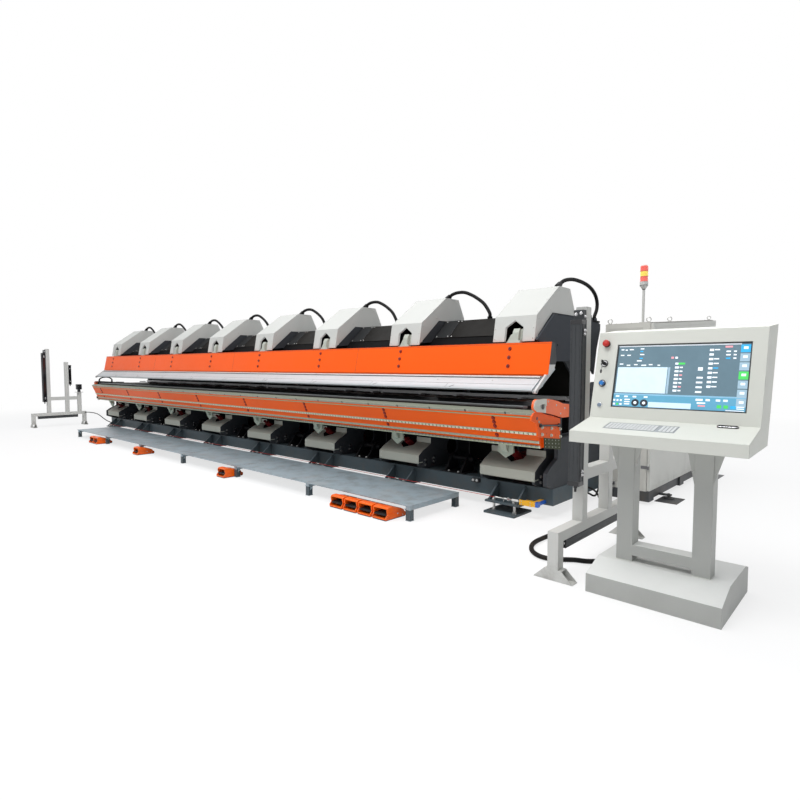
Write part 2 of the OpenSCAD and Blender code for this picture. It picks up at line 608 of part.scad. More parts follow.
// ---------------------------------------------------------------- foot switches
pedal_x = concat([for (k = [0:3]) 3710 + (k - 1.5) * pedal_pitch], [1300, -1222],
  [for (k = [0:1]) -3025 + (k - 0.5) * pedal_pitch]);
pedal_y = -1662;
pedal_len = 260;
hood_side = [[0, 30], [22, 52], [14, 86], [22, pedal_h - 8], [40, pedal_h - 3], [84, pedal_h - 3],
  [126, pedal_h - 18], [190, pedal_h - 30], [230, 66], [240, 46], [pedal_len, 40], [pedal_len, 8], [0, 8]];
treadle_at = [150, 44];
treadle_pin_d = 6;
module pedal_housing() {
  color(ORANGE) difference() {
    plate_x(-pedal_w / 2, pedal_w, hood_side);
    plate_x(-pedal_w / 2 + 9, pedal_w - 18,
      [[-1, 20], [-1, pedal_h - 16], [120, pedal_h - 28], [168, pedal_h - 46], [168, 20]]);
    rod_x(-pedal_w / 2 - 1, pedal_w / 2 + 1, treadle_pin_d + 2 * run_gap, treadle_at);
  }
  color(BLACK) translate([-pedal_w / 2 + 6, 2, 0]) cube([pedal_w - 12, pedal_len - 8, 8]);
}
module pedals() for (x = pedal_x) translate([x, pedal_y, 0]) pedal_housing();
module treadle(k) color(BLACK) translate([pedal_x[k], pedal_y, 0]) {
  plate_x(-pedal_w / 2 + 12, pedal_w - 24, [[14, 42], [14, 52], [140, 62], [156, 56], [160, 44], [150, 36],
    [138, 44]]);
  rod_x(-pedal_w / 2 + 12, pedal_w / 2 - 12, 14, treadle_at);
  rod_x(-pedal_w / 2 + 2, pedal_w / 2 - 2, treadle_pin_d, treadle_at);
}

// ---------------------------------------------------------------- control desk
desk_x = 6335;
// Housing's side outline: tray front, tray rear, panel top, top rear, lower rear, lower front
tray_front = [-1953, 962];
panel_low = [-1668, 1022];
panel_high = [-1530, 1552];
desk_line = [tray_front, panel_low, panel_high, [-1262, 1580], [-1460, 906], [-1953, 895]];
panel_up = unit(panel_high - panel_low);
panel_n = [-panel_up[1], panel_up[0]];
panel_tilt = 90 - atan2(panel_up[1], panel_up[0]);
function on_panel(s, off) = panel_low + panel_up * s + panel_n * off;
// Places children on the sloping panel: u to the right, v up the panel, z out of it
module panel_at(u, s) let (p = on_panel(s, 0)) translate([u, p[0], p[1]]) rotate([90 - panel_tilt, 0, 0])
  children();
tray_up = unit(panel_low - tray_front);
tray_tilt = atan2(tray_up[1], tray_up[0]);
module tray_at(u, s) let (p = tray_front + tray_up * s) translate([u, p[0], p[1]]) rotate([tray_tilt, 0, 0])
  children();
screen_x = desk_x - desk_w / 2 + 123;
screen_s = 72;
control_x = desk_x - desk_w / 2 + 54;
control_s = [474, 346, 219, 80];
key_x = desk_x - desk_w / 2 + 160;
key_s = 91;
key_w = 390;
key_d = 125;
leg_w = 94;
leg_d = 100;
leg_y = -1706;
leg_top = 902;
foot_h = 173;
module desk_foot() difference() {
  plate_x(desk_x - desk_foot_w / 2, desk_foot_w, [[-1907, 0], [-1907, 110], [-1730, foot_h], [-1330, foot_h],
    [-1262, 150], [-1262, 0]]);
  translate([desk_x - desk_foot_w / 2 + 30, -1860, -1]) cube([desk_foot_w - 60, 580, 60]);
}
module desk_legs() {
  translate([desk_x, 0, 0]) both_sides() {
    translate([desk_legs_w / 2 - leg_w, leg_y, foot_h]) cube([leg_w, leg_d, leg_top - foot_h]);
    plate_y(leg_y + 4, 8, [[desk_legs_w / 2, 700], [desk_legs_w / 2 + 60, leg_top - 2],
      [desk_legs_w / 2, leg_top - 2]]);
    plate_y(leg_y + 4, 8, [[desk_legs_w / 2 - leg_w, 680], [desk_legs_w / 2 - leg_w - 45, leg_top - 2],
      [desk_legs_w / 2 - leg_w, leg_top - 2]]);
  }
  translate([desk_x - desk_legs_w / 2 + leg_w - 1, leg_y, 211]) cube([desk_legs_w - 2 * leg_w + 2, leg_d, 64]);
}
module desk_stand() color(DESK_GREY) {
  desk_foot();
  desk_legs();
  rod_x(floor_end[0], floor_end[0] + gland_out + 1, hose_gland_d, [floor_end[1], floor_end[2]]);
}
module desk_housing() color(DESK_GREY) difference() {
  plate_x(desk_x - desk_w / 2, desk_w, desk_line);
  plate_x(desk_x - desk_w / 2 + 8, desk_w - 16, [on_panel(14, -30), on_panel(500, -30), [-1290, 1556],
    [-1455, 985], [-1480, 930], [-1600, 930]]);
  panel_at(screen_x, screen_s) translate([0, 0, -40]) cube([screen_w, screen_h, 60]);
  for (s = control_s) panel_at(control_x, s) translate([0, 0, -40]) cylinder(h = 60, d = button_d + 8);
  tray_at(key_x, key_s) translate([0, 0, -4]) cube([key_w, key_d, 10]);
  tray_at(desk_x + 275, 255) translate([0, 0, -14]) hull() {
    cylinder(h = 20, d = 25, $fn = 24);
    translate([76, 0, 0]) cylinder(h = 20, d = 25, $fn = 24);
  }
  for (s = [-1, 1]) translate([desk_x + s * (desk_legs_w - leg_w) / 2 - leg_w / 2, leg_y, leg_top - 22])
    cube([leg_w, leg_d, 22]);
}
module desk_screen() color("#3f5a73") panel_at(screen_x, screen_s) translate([2, 2, -26])
  cube([screen_w - 4, screen_h - 4, 16]);
module keyboard() color("#e8e8e4") tray_at(key_x, key_s) {
  translate([0.5, 0.5, -4]) cube([key_w - 1, key_d - 1, 3]);
  for (r = [0:4], c = [0:13]) translate([12 + c * 19.5, 10 + r * 20.5, -1]) cube([16, 17, 2.5]);
  for (r = [0:4], c = [0:3]) translate([305 + c * 20, 10 + r * 20.5, -1]) cube([16, 17, 2.5]);
}
module control_collars() color(STEEL) {
  for (s = [control_s[0], control_s[1], control_s[2]]) panel_at(control_x, s) difference() {
    translate([0, 0, -24]) cylinder(h = 24, d = button_d + 8);
    translate([0, 0, -25]) cylinder(h = 60, d = button_d + 2 * run_gap);
  }
  for (s = [control_s[0], control_s[1], control_s[2]]) panel_at(control_x, s) difference() {
    cylinder(h = 5, d = button_d + 14);
    translate([0, 0, -1]) cylinder(h = 60, d = button_d + 2 * run_gap);
  }
  panel_at(control_x, control_s[3]) {
    translate([0, 0, -20]) cylinder(h = 20, d = button_d + 8);
    cylinder(h = 6, d1 = button_d + 14, d2 = button_d + 6);
  }
}
module estop_button() color(RED) panel_at(control_x, control_s[0]) {
  translate([0, 0, -22]) cylinder(h = 40, d = button_d);
  translate([0, 0, 12]) rotate_extrude() polygon([[0, 0], [15, 0], [20, 5], [20, 12], [15, 18], [0, 20]]);
}
module blue_button() color("#2a86c8") panel_at(control_x, control_s[2]) translate([0, 0, -22])
  cylinder(h = 36, d = button_d);
module key_switch() color(BLACK) panel_at(control_x, control_s[1]) {
  translate([0, 0, -22]) cylinder(h = 32, d = button_d);
  translate([-1.5, -9, 10]) cube([3, 18, 22]);
  translate([-2.5, -12, 28]) cube([5, 24, 26]);
}

// ---------------------------------------------------------------- light curtain stands
beam_z = 244;
beam_t = 65;
module stand_foot(y) translate([0, y, 0]) difference() {
  plate_y(0, tube_w, [[-stand_foot_w / 2, 0], [stand_foot_w / 2, 0], [stand_foot_w / 2 - 76, tube_w],
    [-stand_foot_w / 2 + 76, tube_w]]);
  translate([-stand_foot_w, tube_t, tube_t]) cube([2 * stand_foot_w, tube_w - 2 * tube_t, tube_w - 2 * tube_t]);
}
// Posts are given as [distance from the stand's front, top height]
module stand(x, front, length, posts) color(STAND_GREY) translate([x, front, 0]) {
  for (y = [0, length - tube_w]) {
    stand_foot(y);
    translate([-tube_w / 2, y, tube_w]) shell_box([tube_w, tube_w, beam_z + beam_t - tube_w], tube_t);
  }
  translate([-tube_w / 2, tube_w, beam_z]) shell_box([tube_w, length - 2 * tube_w, beam_t], tube_t);
  for (p = posts) translate([-tube_w / 2, p[0], beam_z + beam_t])
    shell_box([tube_w, tube_w, p[1] - beam_z - beam_t], tube_t);
  for (k = [0, 1]) translate([-tube_w / 2, posts[k][0] + tube_w, 585])
    shell_box([tube_w, posts[k + 1][0] - posts[k][0] - tube_w, 75], tube_t);
  translate([-70, posts[2][0] - 34, posts[2][1]]) cube([140, 140, 8]);
}
stand_x = [5757, -6670];
stand_front = [-1895, -1684];
stand_len = [1295, 1083];
stand_posts = [[[346, post_h], [777, 1441], [1144, 745]], [[301, post_h], [667, 1441], [916, 745]]];
module stands() {
  for (k = [0, 1]) stand(stand_x[k], stand_front[k], stand_len[k], stand_posts[k]);
  color(STAND_GREY) rod_x(left_cable[0][0] - gland_out - 1, left_cable[0][0], cable_gland_d,
    [left_cable[0][1], left_cable[0][2]]);
}
unit_w = 75;
module curtain_set(k) translate([stand_x[k], stand_front[k], 0]) {
  p = stand_posts[k];
  translate([-unit_w / 2, p[0][0] - unit_w, 560]) cube([unit_w, unit_w, 1075]);
  translate([-unit_w / 2 + 4, p[0][0] - 40, 1635]) cube([unit_w - 8, 40, 70]);
  translate([-28, p[1][0] + tube_w, 930]) cube([56, 60, 445]);
  translate([-30, 120, beam_z - 60]) cube([60, stand_len[k] - 300, 60]);
  translate([-26, p[2][0] + 8, p[2][1] + 8]) cube([52, 52, 60]);
  translate([-45, p[2][0] - 16, p[2][1] + 68]) cube([90, 100, 120]);
}
module light_curtains() color(DARK) {
  curtain_set(0);
  curtain_set(1);
}

// ---------------------------------------------------------------- cabinet
cab_x = 5112;
cab_front = 456;
cab_z = 128;
cab_wall = 3;
door_t = 26;
door_gap = 3;
door_w = cab_w / 2 - 6;
roof_angle = atan(cab_rise / cab_w);
function roof_z(y) = cab_top + cab_rise * (y - cab_front) / cab_w;
// Places children on the sloping roof, x and y from the cabinet's front corner
module on_roof(x, y) translate([cab_x + x, cab_front + y, roof_z(cab_front + y)]) rotate([roof_angle, 0, 0])
  translate([0, 0, seat_gap]) children();
// Side outline from y0 to y1, from z0 up to a given depth below the roof
function under_roof(y0, y1, z0, drop) = [[y0, z0], [y1, z0], [y1, roof_z(y1) - drop], [y0, roof_z(y0) - drop]];
hinge_pin_d = 8;
hinge_d = 18;
hinge_off = 13;
hinge_z = [cab_z + 220, (cab_z + cab_top) / 2, cab_top - 260];
hinge_x = cab_x + cab_d - 13;
hinge_y = [cab_front - hinge_off + 3, cab_front + cab_w + hinge_off - 3];
// Lower knuckle with its pin, and the leaf that holds it on the cabinet's side
module hinge_knuckle(k) for (z = hinge_z) translate([hinge_x, hinge_y[k], z]) {
  cylinder(h = 30, d = hinge_d);
  cylinder(h = 62, d = hinge_pin_d);
  translate([-70, k == 0 ? hinge_off - 7 : -hinge_off + 3, 0]) cube([66, 4, 30]);
  translate([-hinge_d / 2, k == 0 ? 0 : -hinge_off + 4, 2]) cube([hinge_d / 2, hinge_off - 4, 26]);
}
module cabinet_bodies() color("#bcbab4") {
  difference() {
    plate_x(cab_x, cab_d - door_t - door_gap, under_roof(cab_front, cab_front + cab_w, cab_z, 0));
    for (k = [0, 1]) let (y0 = cab_front + k * cab_w / 2)
      plate_x(cab_x + cab_wall, cab_d,
        under_roof(y0 + cab_wall, y0 + cab_w / 2 - cab_wall, cab_z + cab_wall, cab_wall));
  }
  for (k = [0, 1]) hinge_knuckle(k);
  for (g = [[floor_path[0], hose_gland_d], [cable_a_end, cable_gland_d], [cable_b_end, cable_gland_d]])
    translate([g[0][0], cab_front - gland_out, g[0][2]]) rotate([-90, 0, 0]) cylinder(h = gland_out + 1, d = g[1]);
}
// A door is a folded tray with a handle near the seam
door_edge = 22;
module cab_door(k) {
  y0 = k == 0 ? cab_front + 3 : cab_front + cab_w / 2 + 3;
  color("#c4c2bc") difference() {
    union() {
      plate_x(cab_x + cab_d - door_t, door_t, under_roof(y0, y0 + door_w, cab_z + 6, 6));
      for (z = hinge_z) translate([hinge_x, hinge_y[k], z + 31]) {
        cylinder(h = 30, d = hinge_d);
        translate([-4, k == 0 ? 0 : -hinge_off - 1, 2]) cube([8, hinge_off + 1, 26]);
      }
    }
    plate_x(cab_x + cab_d - door_t - 1, door_t - 1,
      under_roof(y0 + door_edge, y0 + door_w - door_edge, cab_z + 6 + door_edge, 6 + door_edge));
    for (z = hinge_z) translate([hinge_x, hinge_y[k], z + 30])
      cylinder(h = 40, d = hinge_pin_d + 2 * run_gap);
  }
  color(BLACK) translate([cab_x + cab_d, k == 0 ? y0 + door_w - 70 : y0 + 40, 980]) cube([8, 30, 150]);
}
module cabinet_door_1() cab_door(0);
module cabinet_door_2() cab_door(1);
// Plinth blocks with a frame between them, and levelling feet on floor plates beside the doors
block_w = 138;
level_plate = [205, 283, 6];
module cabinet_plinth() color("#4b4d50") {
  for (y = [0, (cab_w - block_w) / 2 - 95, cab_w - block_w]) translate([cab_x, cab_front + y, 28])
    cube([cab_d, block_w, cab_z - 28]);
  translate([cab_x + 20, cab_front + 20, 38]) cube([cab_d - 40, cab_w - 40, 80]);
  for (y = [202, cab_w - 202 - level_plate[1]]) translate([cab_x + cab_d + 68, cab_front + y, 0]) {
    translate([-80, 0, 0]) cube(level_plate);
    translate([0, 178, 0]) cylinder(h = 22, d = 96);
    translate([0, 178, 0]) cylinder(h = 62, d = 24);
    translate([-90, 154, 38]) cube([114, 48, 16]);
  }
}
pole_x = 5420;
pole_y = 608;
lamp_z = 2130;
module stack_pole() color(STAND_GREY) {
  on_roof(pole_x - cab_x, pole_y - cab_front) cylinder(h = 8, d = 70);
  translate([pole_x, pole_y, 0]) {
    translate([0, 0, roof_z(pole_y) + 4]) cylinder(h = lamp_z - roof_z(pole_y) - 34, d = 25);
    translate([0, 0, lamp_z - 30]) cylinder(h = 30, d1 = 34, d2 = lamp_d);
    translate([0, 0, lamp_z]) cylinder(h = 40, d = lamp_d);
  }
}
module stack_lamps() color("#e8543c") translate([pole_x, pole_y, lamp_z + 40]) {
  for (k = [0:2]) translate([0, 0, k * 50]) cylinder(h = 49, d = lamp_d - 3);
  translate([0, 0, 149]) cylinder(h = 10, d1 = lamp_d - 3, d2 = lamp_d - 16);
}

// ---------------------------------------------------------------- free cables and hoses on the floor
gland_out = 20;
floor_hose_d = 35;
hose_gland_d = 52;
floor_end = [desk_x - desk_foot_w / 2 - gland_out, -1440, 56];
floor_path = [[5400, cab_front - gland_out, 160], [5400, 390, 160], [5400, 330, 148], [5399, 275, 118],
  [5398, 225, 76], [5396, 170, 40], [5394, 100, 22], [5390, 20, 19], [5378, -400, 19], [5356, -900, 19],
  [5342, -1080, 19], [5334, -1200, 19], [5334, -1330, 19], [5362, -1440, 19], [5426, -1540, 19], [5510, -1594, 19],
  [5590, -1594, 19], [5654, -1552, 19], [5720, -1502, 19], [5800, -1466, 19], [5866, -1446, 32], [5920, -1440, 56],
  floor_end];
cable_d = 18;
cable_gland_d = 34;
cable_a_end = [5230, cab_front - gland_out, 170];
cable_a = [[base_len / 2 + gland_out, -100, 215], [5145, -100, 215], [5182, -92, 212], [5213, -62, 198],
  [5230, -14, 172], [5235, 38, 136], [5230, 88, 96], [5222, 136, 56], [5214, 180, 26], [5210, 222, 12],
  [5209, 262, 12], [5210, 303, 23], [5213, 334, 51], [5217, 348, 91], [5221, 364, 132], [5227, 395, 160],
  [5230, 416, 170], cable_a_end];
cable_b_end = [5180, cab_front - gland_out, 234];
cable_b = [[base_len / 2 + gland_out, -10, 140], [5145, -10, 140], [5172, 0, 132], [5192, 24, 114], [5200, 60, 104],
  [5199, 100, 108], [5193, 150, 136], [5186, 200, 170], [5181, 250, 200], [5179, 300, 220], [5179, 360, 231],
  [5180, 405, 234], cable_b_end];
left_cable_end = [-base_len / 2 - gland_out, -570, 134];
left_cable = [[stand_x[1] + tube_w / 2 + gland_out, -634, 284], [-6570, -634, 284], [-6440, -628, 292],
  [-6250, -618, 295], [-6056, -612, 292], [-5871, -609, 277], [-5692, -606, 240], [-5518, -600, 194],
  [-5345, -590, 158], [-5230, -576, 140], [-5165, -570, 134], left_cable_end];
loop_d = 26;
loop_x = -nose_x - 15;
loop_path = [for (q = [[0, 46], [0, 60], [24, 84], [70, 104], [124, 110], [178, 104], [224, 84], [248, 60], [248, 46]])
  [loop_x, loop_y[0] + q[0], axis_z + q[1]]];
module floor_hoses() color(BLACK) {
  sweep(floor_path, floor_hose_d);
  sweep(cable_a, cable_d);
  sweep(cable_b, cable_d);
  sweep(left_cable, cable_d);
  sweep(loop_path, loop_d, [1, 0, 0]);
}
module top_hoses() color(BLACK) {
  for (i = [0:heads - 2]) translate([head_x(i), 0, 0]) sweep(hose_path, hose_d, [0, 1, 0]);
  translate([head_x(heads - 1), 0, 0]) {
    sweep(end_hose_path, hose_d, [1, 0, 0]);
    sweep(small_hose_path, small_hose_d, [1, 0, 0]);
  }
}

base_frame();
foot_plates();
root_fasteners();
lower_arms();
end_frames();
lower_covers();
lower_clamp_beam();
lower_jaw();
support_table();
lower_drives();
pivot_pins();
end_noses();
clamp_barrels();
clamp_rods();
upper_frame();
upper_arms();
upper_jaw();
upper_covers();
upper_drives();
top_hoses();
upper_fold_beam();
upper_fold_blade();
upper_levers();
upper_bolts();
lower_fold_beam();
lower_fold_strips();
lower_levers();
lower_bolts();
fold_cheeks();
back_gauge();
step_deck();
step_posts();
pull_rope();
rope_switch();
pedals();
treadle(0);  // treadle_1
treadle(1);  // treadle_2
treadle(2);  // treadle_3
treadle(3);  // treadle_4
treadle(4);  // treadle_5
treadle(5);  // treadle_6
treadle(6);  // treadle_7
treadle(7);  // treadle_8
desk_stand();
desk_housing();
desk_screen();
keyboard();
control_collars();
estop_button();
key_switch();
blue_button();
stands();
light_curtains();
cabinet_bodies();
cabinet_door_1();
cabinet_door_2();
cabinet_plinth();
stack_pole();
stack_lamps();
floor_hoses();
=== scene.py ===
"""Looks of a long double folding machine for sheet metal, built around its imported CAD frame."""
import math

import bmesh
import bpy
from mathutils import Matrix, Vector


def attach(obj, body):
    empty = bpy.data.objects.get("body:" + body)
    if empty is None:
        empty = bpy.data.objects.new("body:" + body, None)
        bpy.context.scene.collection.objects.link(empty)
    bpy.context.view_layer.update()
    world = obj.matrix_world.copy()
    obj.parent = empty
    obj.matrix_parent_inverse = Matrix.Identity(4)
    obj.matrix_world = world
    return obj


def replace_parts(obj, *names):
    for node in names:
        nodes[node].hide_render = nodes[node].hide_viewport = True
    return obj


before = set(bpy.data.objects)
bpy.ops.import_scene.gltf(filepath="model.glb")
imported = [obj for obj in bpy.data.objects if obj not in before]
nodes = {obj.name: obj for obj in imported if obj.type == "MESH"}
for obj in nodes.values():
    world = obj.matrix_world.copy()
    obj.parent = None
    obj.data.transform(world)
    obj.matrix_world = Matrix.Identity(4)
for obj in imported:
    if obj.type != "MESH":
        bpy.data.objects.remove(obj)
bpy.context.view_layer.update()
scene = bpy.context.scene

# ---------------------------------------------------------------- camera
cam_data = bpy.data.cameras.new("camera")
cam_data.sensor_width = 36
cam_data.lens = 24.525
camera = bpy.data.objects.new("camera", cam_data)
camera.location = (7.310, -5.001, 1.338)
camera.rotation_euler = (math.radians(86.5), 0, math.radians(42.5))
scene.collection.objects.link(camera)
scene.camera = camera

# ---------------------------------------------------------------- sizes shared with the CAD source, in metres
HEADS = 8
PITCH = (10.2 - 2 * 0.406) / (HEADS - 1)
HEAD_X = [(i - (HEADS - 1) / 2) * PITCH for i in range(HEADS)]
HEAD_W = 0.43
UP = Vector((-0.884992, 1.128162))  # axis of the upper folding beam, as (y, z)
LOW = Vector((-0.885, 1.006))  # axis of the lower one


def lin(c):
    """Linear colour of an sRGB one given from 0 to 255."""
    return tuple(((v / 255 + 0.055) / 1.055) ** 2.4 if v > 10.3 else v / 255 / 12.92 for v in c)


def shade(c, k):
    """Colour made darker or brighter, at most white."""
    return tuple(min(1, v * k) for v in c)


# ---------------------------------------------------------------- shader helpers
class Tree:
    """A material's node tree around one principled shader; positions are the rest ones, in metres."""

    def __init__(self, name):
        self.mat = bpy.data.materials.new(name)
        self.mat.use_nodes = True
        self.t = self.mat.node_tree
        self.t.nodes.clear()
        self.bsdf = self.n("ShaderNodeBsdfPrincipled")
        self.link(self.bsdf.outputs[0], self.n("ShaderNodeOutputMaterial").inputs[0])
        self.pos = self.n("ShaderNodeTexCoord").outputs["Object"]

    def n(self, kind, **props):
        node = self.t.nodes.new(kind)
        for k, v in props.items():
            setattr(node, k, v)
        return node

    def link(self, a, b):
        self.t.links.new(a, b)

    def val(self, sock, v):
        """Joins an input to a socket, or sets its value."""
        if isinstance(v, bpy.types.NodeSocket):
            self.link(v, sock)
        elif sock.type == "RGBA":
            sock.default_value = (*v[:3], 1)
        else:
            sock.default_value = v

    def math(self, op, a, b=0.0):
        m = self.n("ShaderNodeMath", operation=op)
        self.val(m.inputs[0], a)
        self.val(m.inputs[1], b)
        return m.outputs[0]

    def add(self, a, b):
        return self.math("ADD", a, b)

    def mul(self, a, b):
        return self.math("MULTIPLY", a, b)

    def above(self, v, limit):
        return self.math("GREATER_THAN", v, limit)

    def below(self, v, limit):
        return self.math("LESS_THAN", v, limit)

    def band(self, v, lo, hi):
        """1 between lo and hi."""
        return self.mul(self.above(v, lo), self.below(v, hi))

    def far(self, k, limit):
        """Further than limit from the middle along axis k."""
        return self.above(self.math("ABSOLUTE", self.axis(k)), limit)

    def every(self, v, step, lo, hi):
        """Between the shares lo and hi of each step."""
        return self.band(self.math("FRACT", self.mul(v, 1 / step)), lo, hi)

    def noise(self, scale, detail, rough, stretch=None, w=0.0):
        """Noise over the rest position; w picks another pattern of the same kind."""
        src = self.pos
        if stretch:
            mp = self.n("ShaderNodeMapping")
            mp.inputs["Scale"].default_value = stretch
            self.link(src, mp.inputs["Vector"])
            src = mp.outputs[0]
        nz = self.n("ShaderNodeTexNoise", noise_dimensions="4D")
        for k, v in (("Scale", scale), ("Detail", detail), ("Roughness", rough), ("W", w)):
            nz.inputs[k].default_value = v
        self.link(src, nz.inputs["Vector"])
        return nz.outputs["Fac"]

    def gloss(self, scale, detail, rough, span, base, w=0.0):
        """Roughness that drifts from base up to base + span."""
        return self.add(self.mul(self.noise(scale, detail, rough, w=w), span), base)

    def ramp(self, v, lo, hi):
        """Soft step from 0 at lo to 1 at hi, which may be the smaller one."""
        m = self.n("ShaderNodeMapRange", interpolation_type="SMOOTHSTEP")
        for i, x in enumerate((v, lo, hi)):
            self.val(m.inputs[i], x)
        return m.outputs[0]

    def drift(self, scale, detail, lo=0.3, hi=0.7, rough=0.6, w=0.0, stretch=None):
        """Noise pulled apart into patches of 0 and 1 with soft edges."""
        return self.ramp(self.noise(scale, detail, rough, stretch, w), lo, hi)

    def mix(self, fac, a, b):
        """Colour a where fac is 0, b where it is 1."""
        m = self.n("ShaderNodeMix", data_type="RGBA", blend_type="MIX")
        for i, v in ((0, fac), (6, a), (7, b)):
            self.val(m.inputs[i], v)
        return m.outputs[2]

    def part(self, vector, k):
        s = self.n("ShaderNodeSeparateXYZ")
        self.link(vector, s.inputs[0])
        return s.outputs[k]

    def axis(self, k):
        """Rest position along axis k."""
        return self.part(self.pos, k)

    def upward(self):
        """How far the surface looks up."""
        return self.part(self.n("ShaderNodeNewGeometry").outputs["Normal"], 2)

    def glow(self, colour, strength):
        """Lets the surface shine faintly in its own colour."""
        self.link(colour, self.bsdf.inputs["Emission Color"])
        self.bsdf.inputs["Emission Strength"].default_value = strength
        return self.mat

    def surface(self, colour, rough, metal, bump, bump_mm, edge, wear, wear_rgb, grime, coat=0.0, spec=0.5):
        """Finish shared by every material: rounded worn edges, grime near the floor, dust on top."""
        normal = self.n("ShaderNodeNewGeometry").outputs["Normal"]
        if edge:
            bev = self.n("ShaderNodeBevel", samples=3)
            bev.inputs["Radius"].default_value = edge
            dot = self.n("ShaderNodeVectorMath", operation="DOT_PRODUCT")
            self.link(bev.outputs[0], dot.inputs[0])
            self.link(normal, dot.inputs[1])
            chips = self.mul(self.ramp(dot.outputs["Value"], 0.985, 0.9), self.drift(38, 5, 0.42, 0.62, 0.7))
            colour = self.mix(self.mul(chips, wear), colour, lin(wear_rgb))
            normal = bev.outputs[0]
        if grime:
            dirt = self.mul(self.ramp(self.axis(2), 0.35, 0.0), self.drift(6, 6, 0.42, 0.7, 0.72, 3))
            colour = self.mix(self.mul(dirt, grime), colour, lin((92, 84, 74)))
            film = self.mul(self.ramp(self.upward(), 0.8, 1.0), self.drift(3.1, 5, 0.5, 0.8, 0.7, 8))
            colour = self.mix(self.mul(film, grime * 0.5), colour, lin((178, 174, 166)))
        self.val(self.bsdf.inputs["Base Color"], colour)
        self.val(self.bsdf.inputs["Roughness"], rough)
        for k, v in (("Metallic", metal), ("Coat Weight", coat), ("Coat Roughness", 0.12),
                     ("Specular IOR Level", spec)):
            self.bsdf.inputs[k].default_value = v
        relief = self.n("ShaderNodeBump")
        for k, v in (("Strength", 0.5), ("Distance", bump_mm / 1000), ("Height", bump), ("Normal", normal)):
            self.val(relief.inputs[k], v)
        self.link(relief.outputs[0], self.bsdf.inputs["Normal"])
        return self.mat


# ---------------------------------------------------------------- materials
M = {}


def paint(key, name, rgb, rough=0.42, var=0.05, coat=0.0, wear=0.3, wear_rgb=(205, 203, 198), grime=0.35, spec=0.22,
          over=()):
    """Sprayed enamel or powder coat with drifting tone, orange peel and smudged gloss; over repaints parts of it."""
    t = Tree(name)
    c = lin(rgb)
    colour = t.mix(t.drift(0.7, 4), shade(c, 1 - var), shade(c, 1 + var))
    colour = t.mix(t.mul(t.drift(2.4, 5, 0.55, 0.8, 0.65, 5, (1, 1, 0.25)), 0.12), colour, shade(c, 0.72))
    for mask, tint in over:
        colour = t.mix(mask(t), colour, lin(tint))
    fine = t.add(t.noise(520, 2, 0.5), t.mul(t.noise(60, 3, 0.5), 1.2))
    r = t.gloss(9, 6, 0.7, 0.28, rough - 0.14, 2)
    M[key] = t.surface(colour, r, 0.0, fine, 0.12, 0.0035, wear, wear_rgb, grime, coat, spec)


def steel(key, name, rgb, rough=0.32, metal=0.85, along=0, tone=0.12, fade=None):
    """Ground or drawn metal: grain along one axis, handling marks and faint stains; fade darkens it downwards."""
    t = Tree(name)
    c = lin(rgb)
    stretch = [260.0, 260.0, 260.0]
    stretch[along] = 1.6
    grain = t.noise(1.0, 4, 0.7, stretch)
    stain = t.drift(2.2, 6, 0.45, 0.75, 0.7, 4)
    colour = t.mix(grain, shade(c, 1 - tone), shade(c, 1 + tone))
    colour = t.mix(t.mul(stain, 0.22), colour, shade(c, 0.62))
    if fade:
        colour = t.mix(t.ramp(t.axis(2), *fade), colour, shade(c, 0.62))
    r = t.add(t.add(t.mul(grain, 0.22), rough - 0.08), t.mul(stain, 0.12))
    M[key] = t.surface(colour, r, metal, grain, 0.05, 0.002, 0.4, (235, 234, 230), 0.15)


def plastic(key, name, rgb, rough=0.35, coat=0.2, grain=800, bump_mm=0.08, glow=0.0, edge=0.0015, spec=0.3):
    """Moulded plastic, rubber or glass with a fine grain; glow lights it faintly."""
    t = Tree(name)
    c = lin(rgb)
    colour = t.mix(t.drift(5, 4), shade(c, 0.92), shade(c, 1.05))
    M[key] = t.surface(colour, t.gloss(30, 5, 0.7, 0.2, rough - 0.1), 0.0, t.noise(grain, 2, 0.5), bump_mm, edge, 0.2,
                       (210, 208, 204), 0.2, coat, spec)
    if glow:
        t.glow(colour, glow)


def head_side(t):
    """Glands that stand out of a head cover's side or top."""
    u = t.math("FRACT", t.add(t.mul(t.axis(0), 1 / PITCH), HEADS / 2))
    out = t.above(t.math("ABSOLUTE", t.math("SUBTRACT", u, 0.5)), (HEAD_W / 2 + 0.0006) / PITCH)
    return t.math("MAXIMUM", out, t.above(t.axis(2), UP[1] + 0.9704))


def beam_end(t):
    """Bare metal at both ends of the upper folding beam, below and behind the panel."""
    slope = 0.2071
    back = t.above(t.math("SUBTRACT", t.axis(1), t.mul(t.axis(2), slope)),
                   UP[0] + 0.167 - (UP[1] + 0.145) * slope + 0.004)
    low = t.below(t.axis(2), UP[1] + 0.142)
    return t.mul(t.far(0, 5.0625), t.math("MAXIMUM", low, t.mul(back, t.far(0, 5.0975))))


def beam_end_top(t):
    """Dark upper part of the beam's end faces."""
    return t.mul(beam_end(t), t.above(t.axis(2), UP[1] + 0.228))


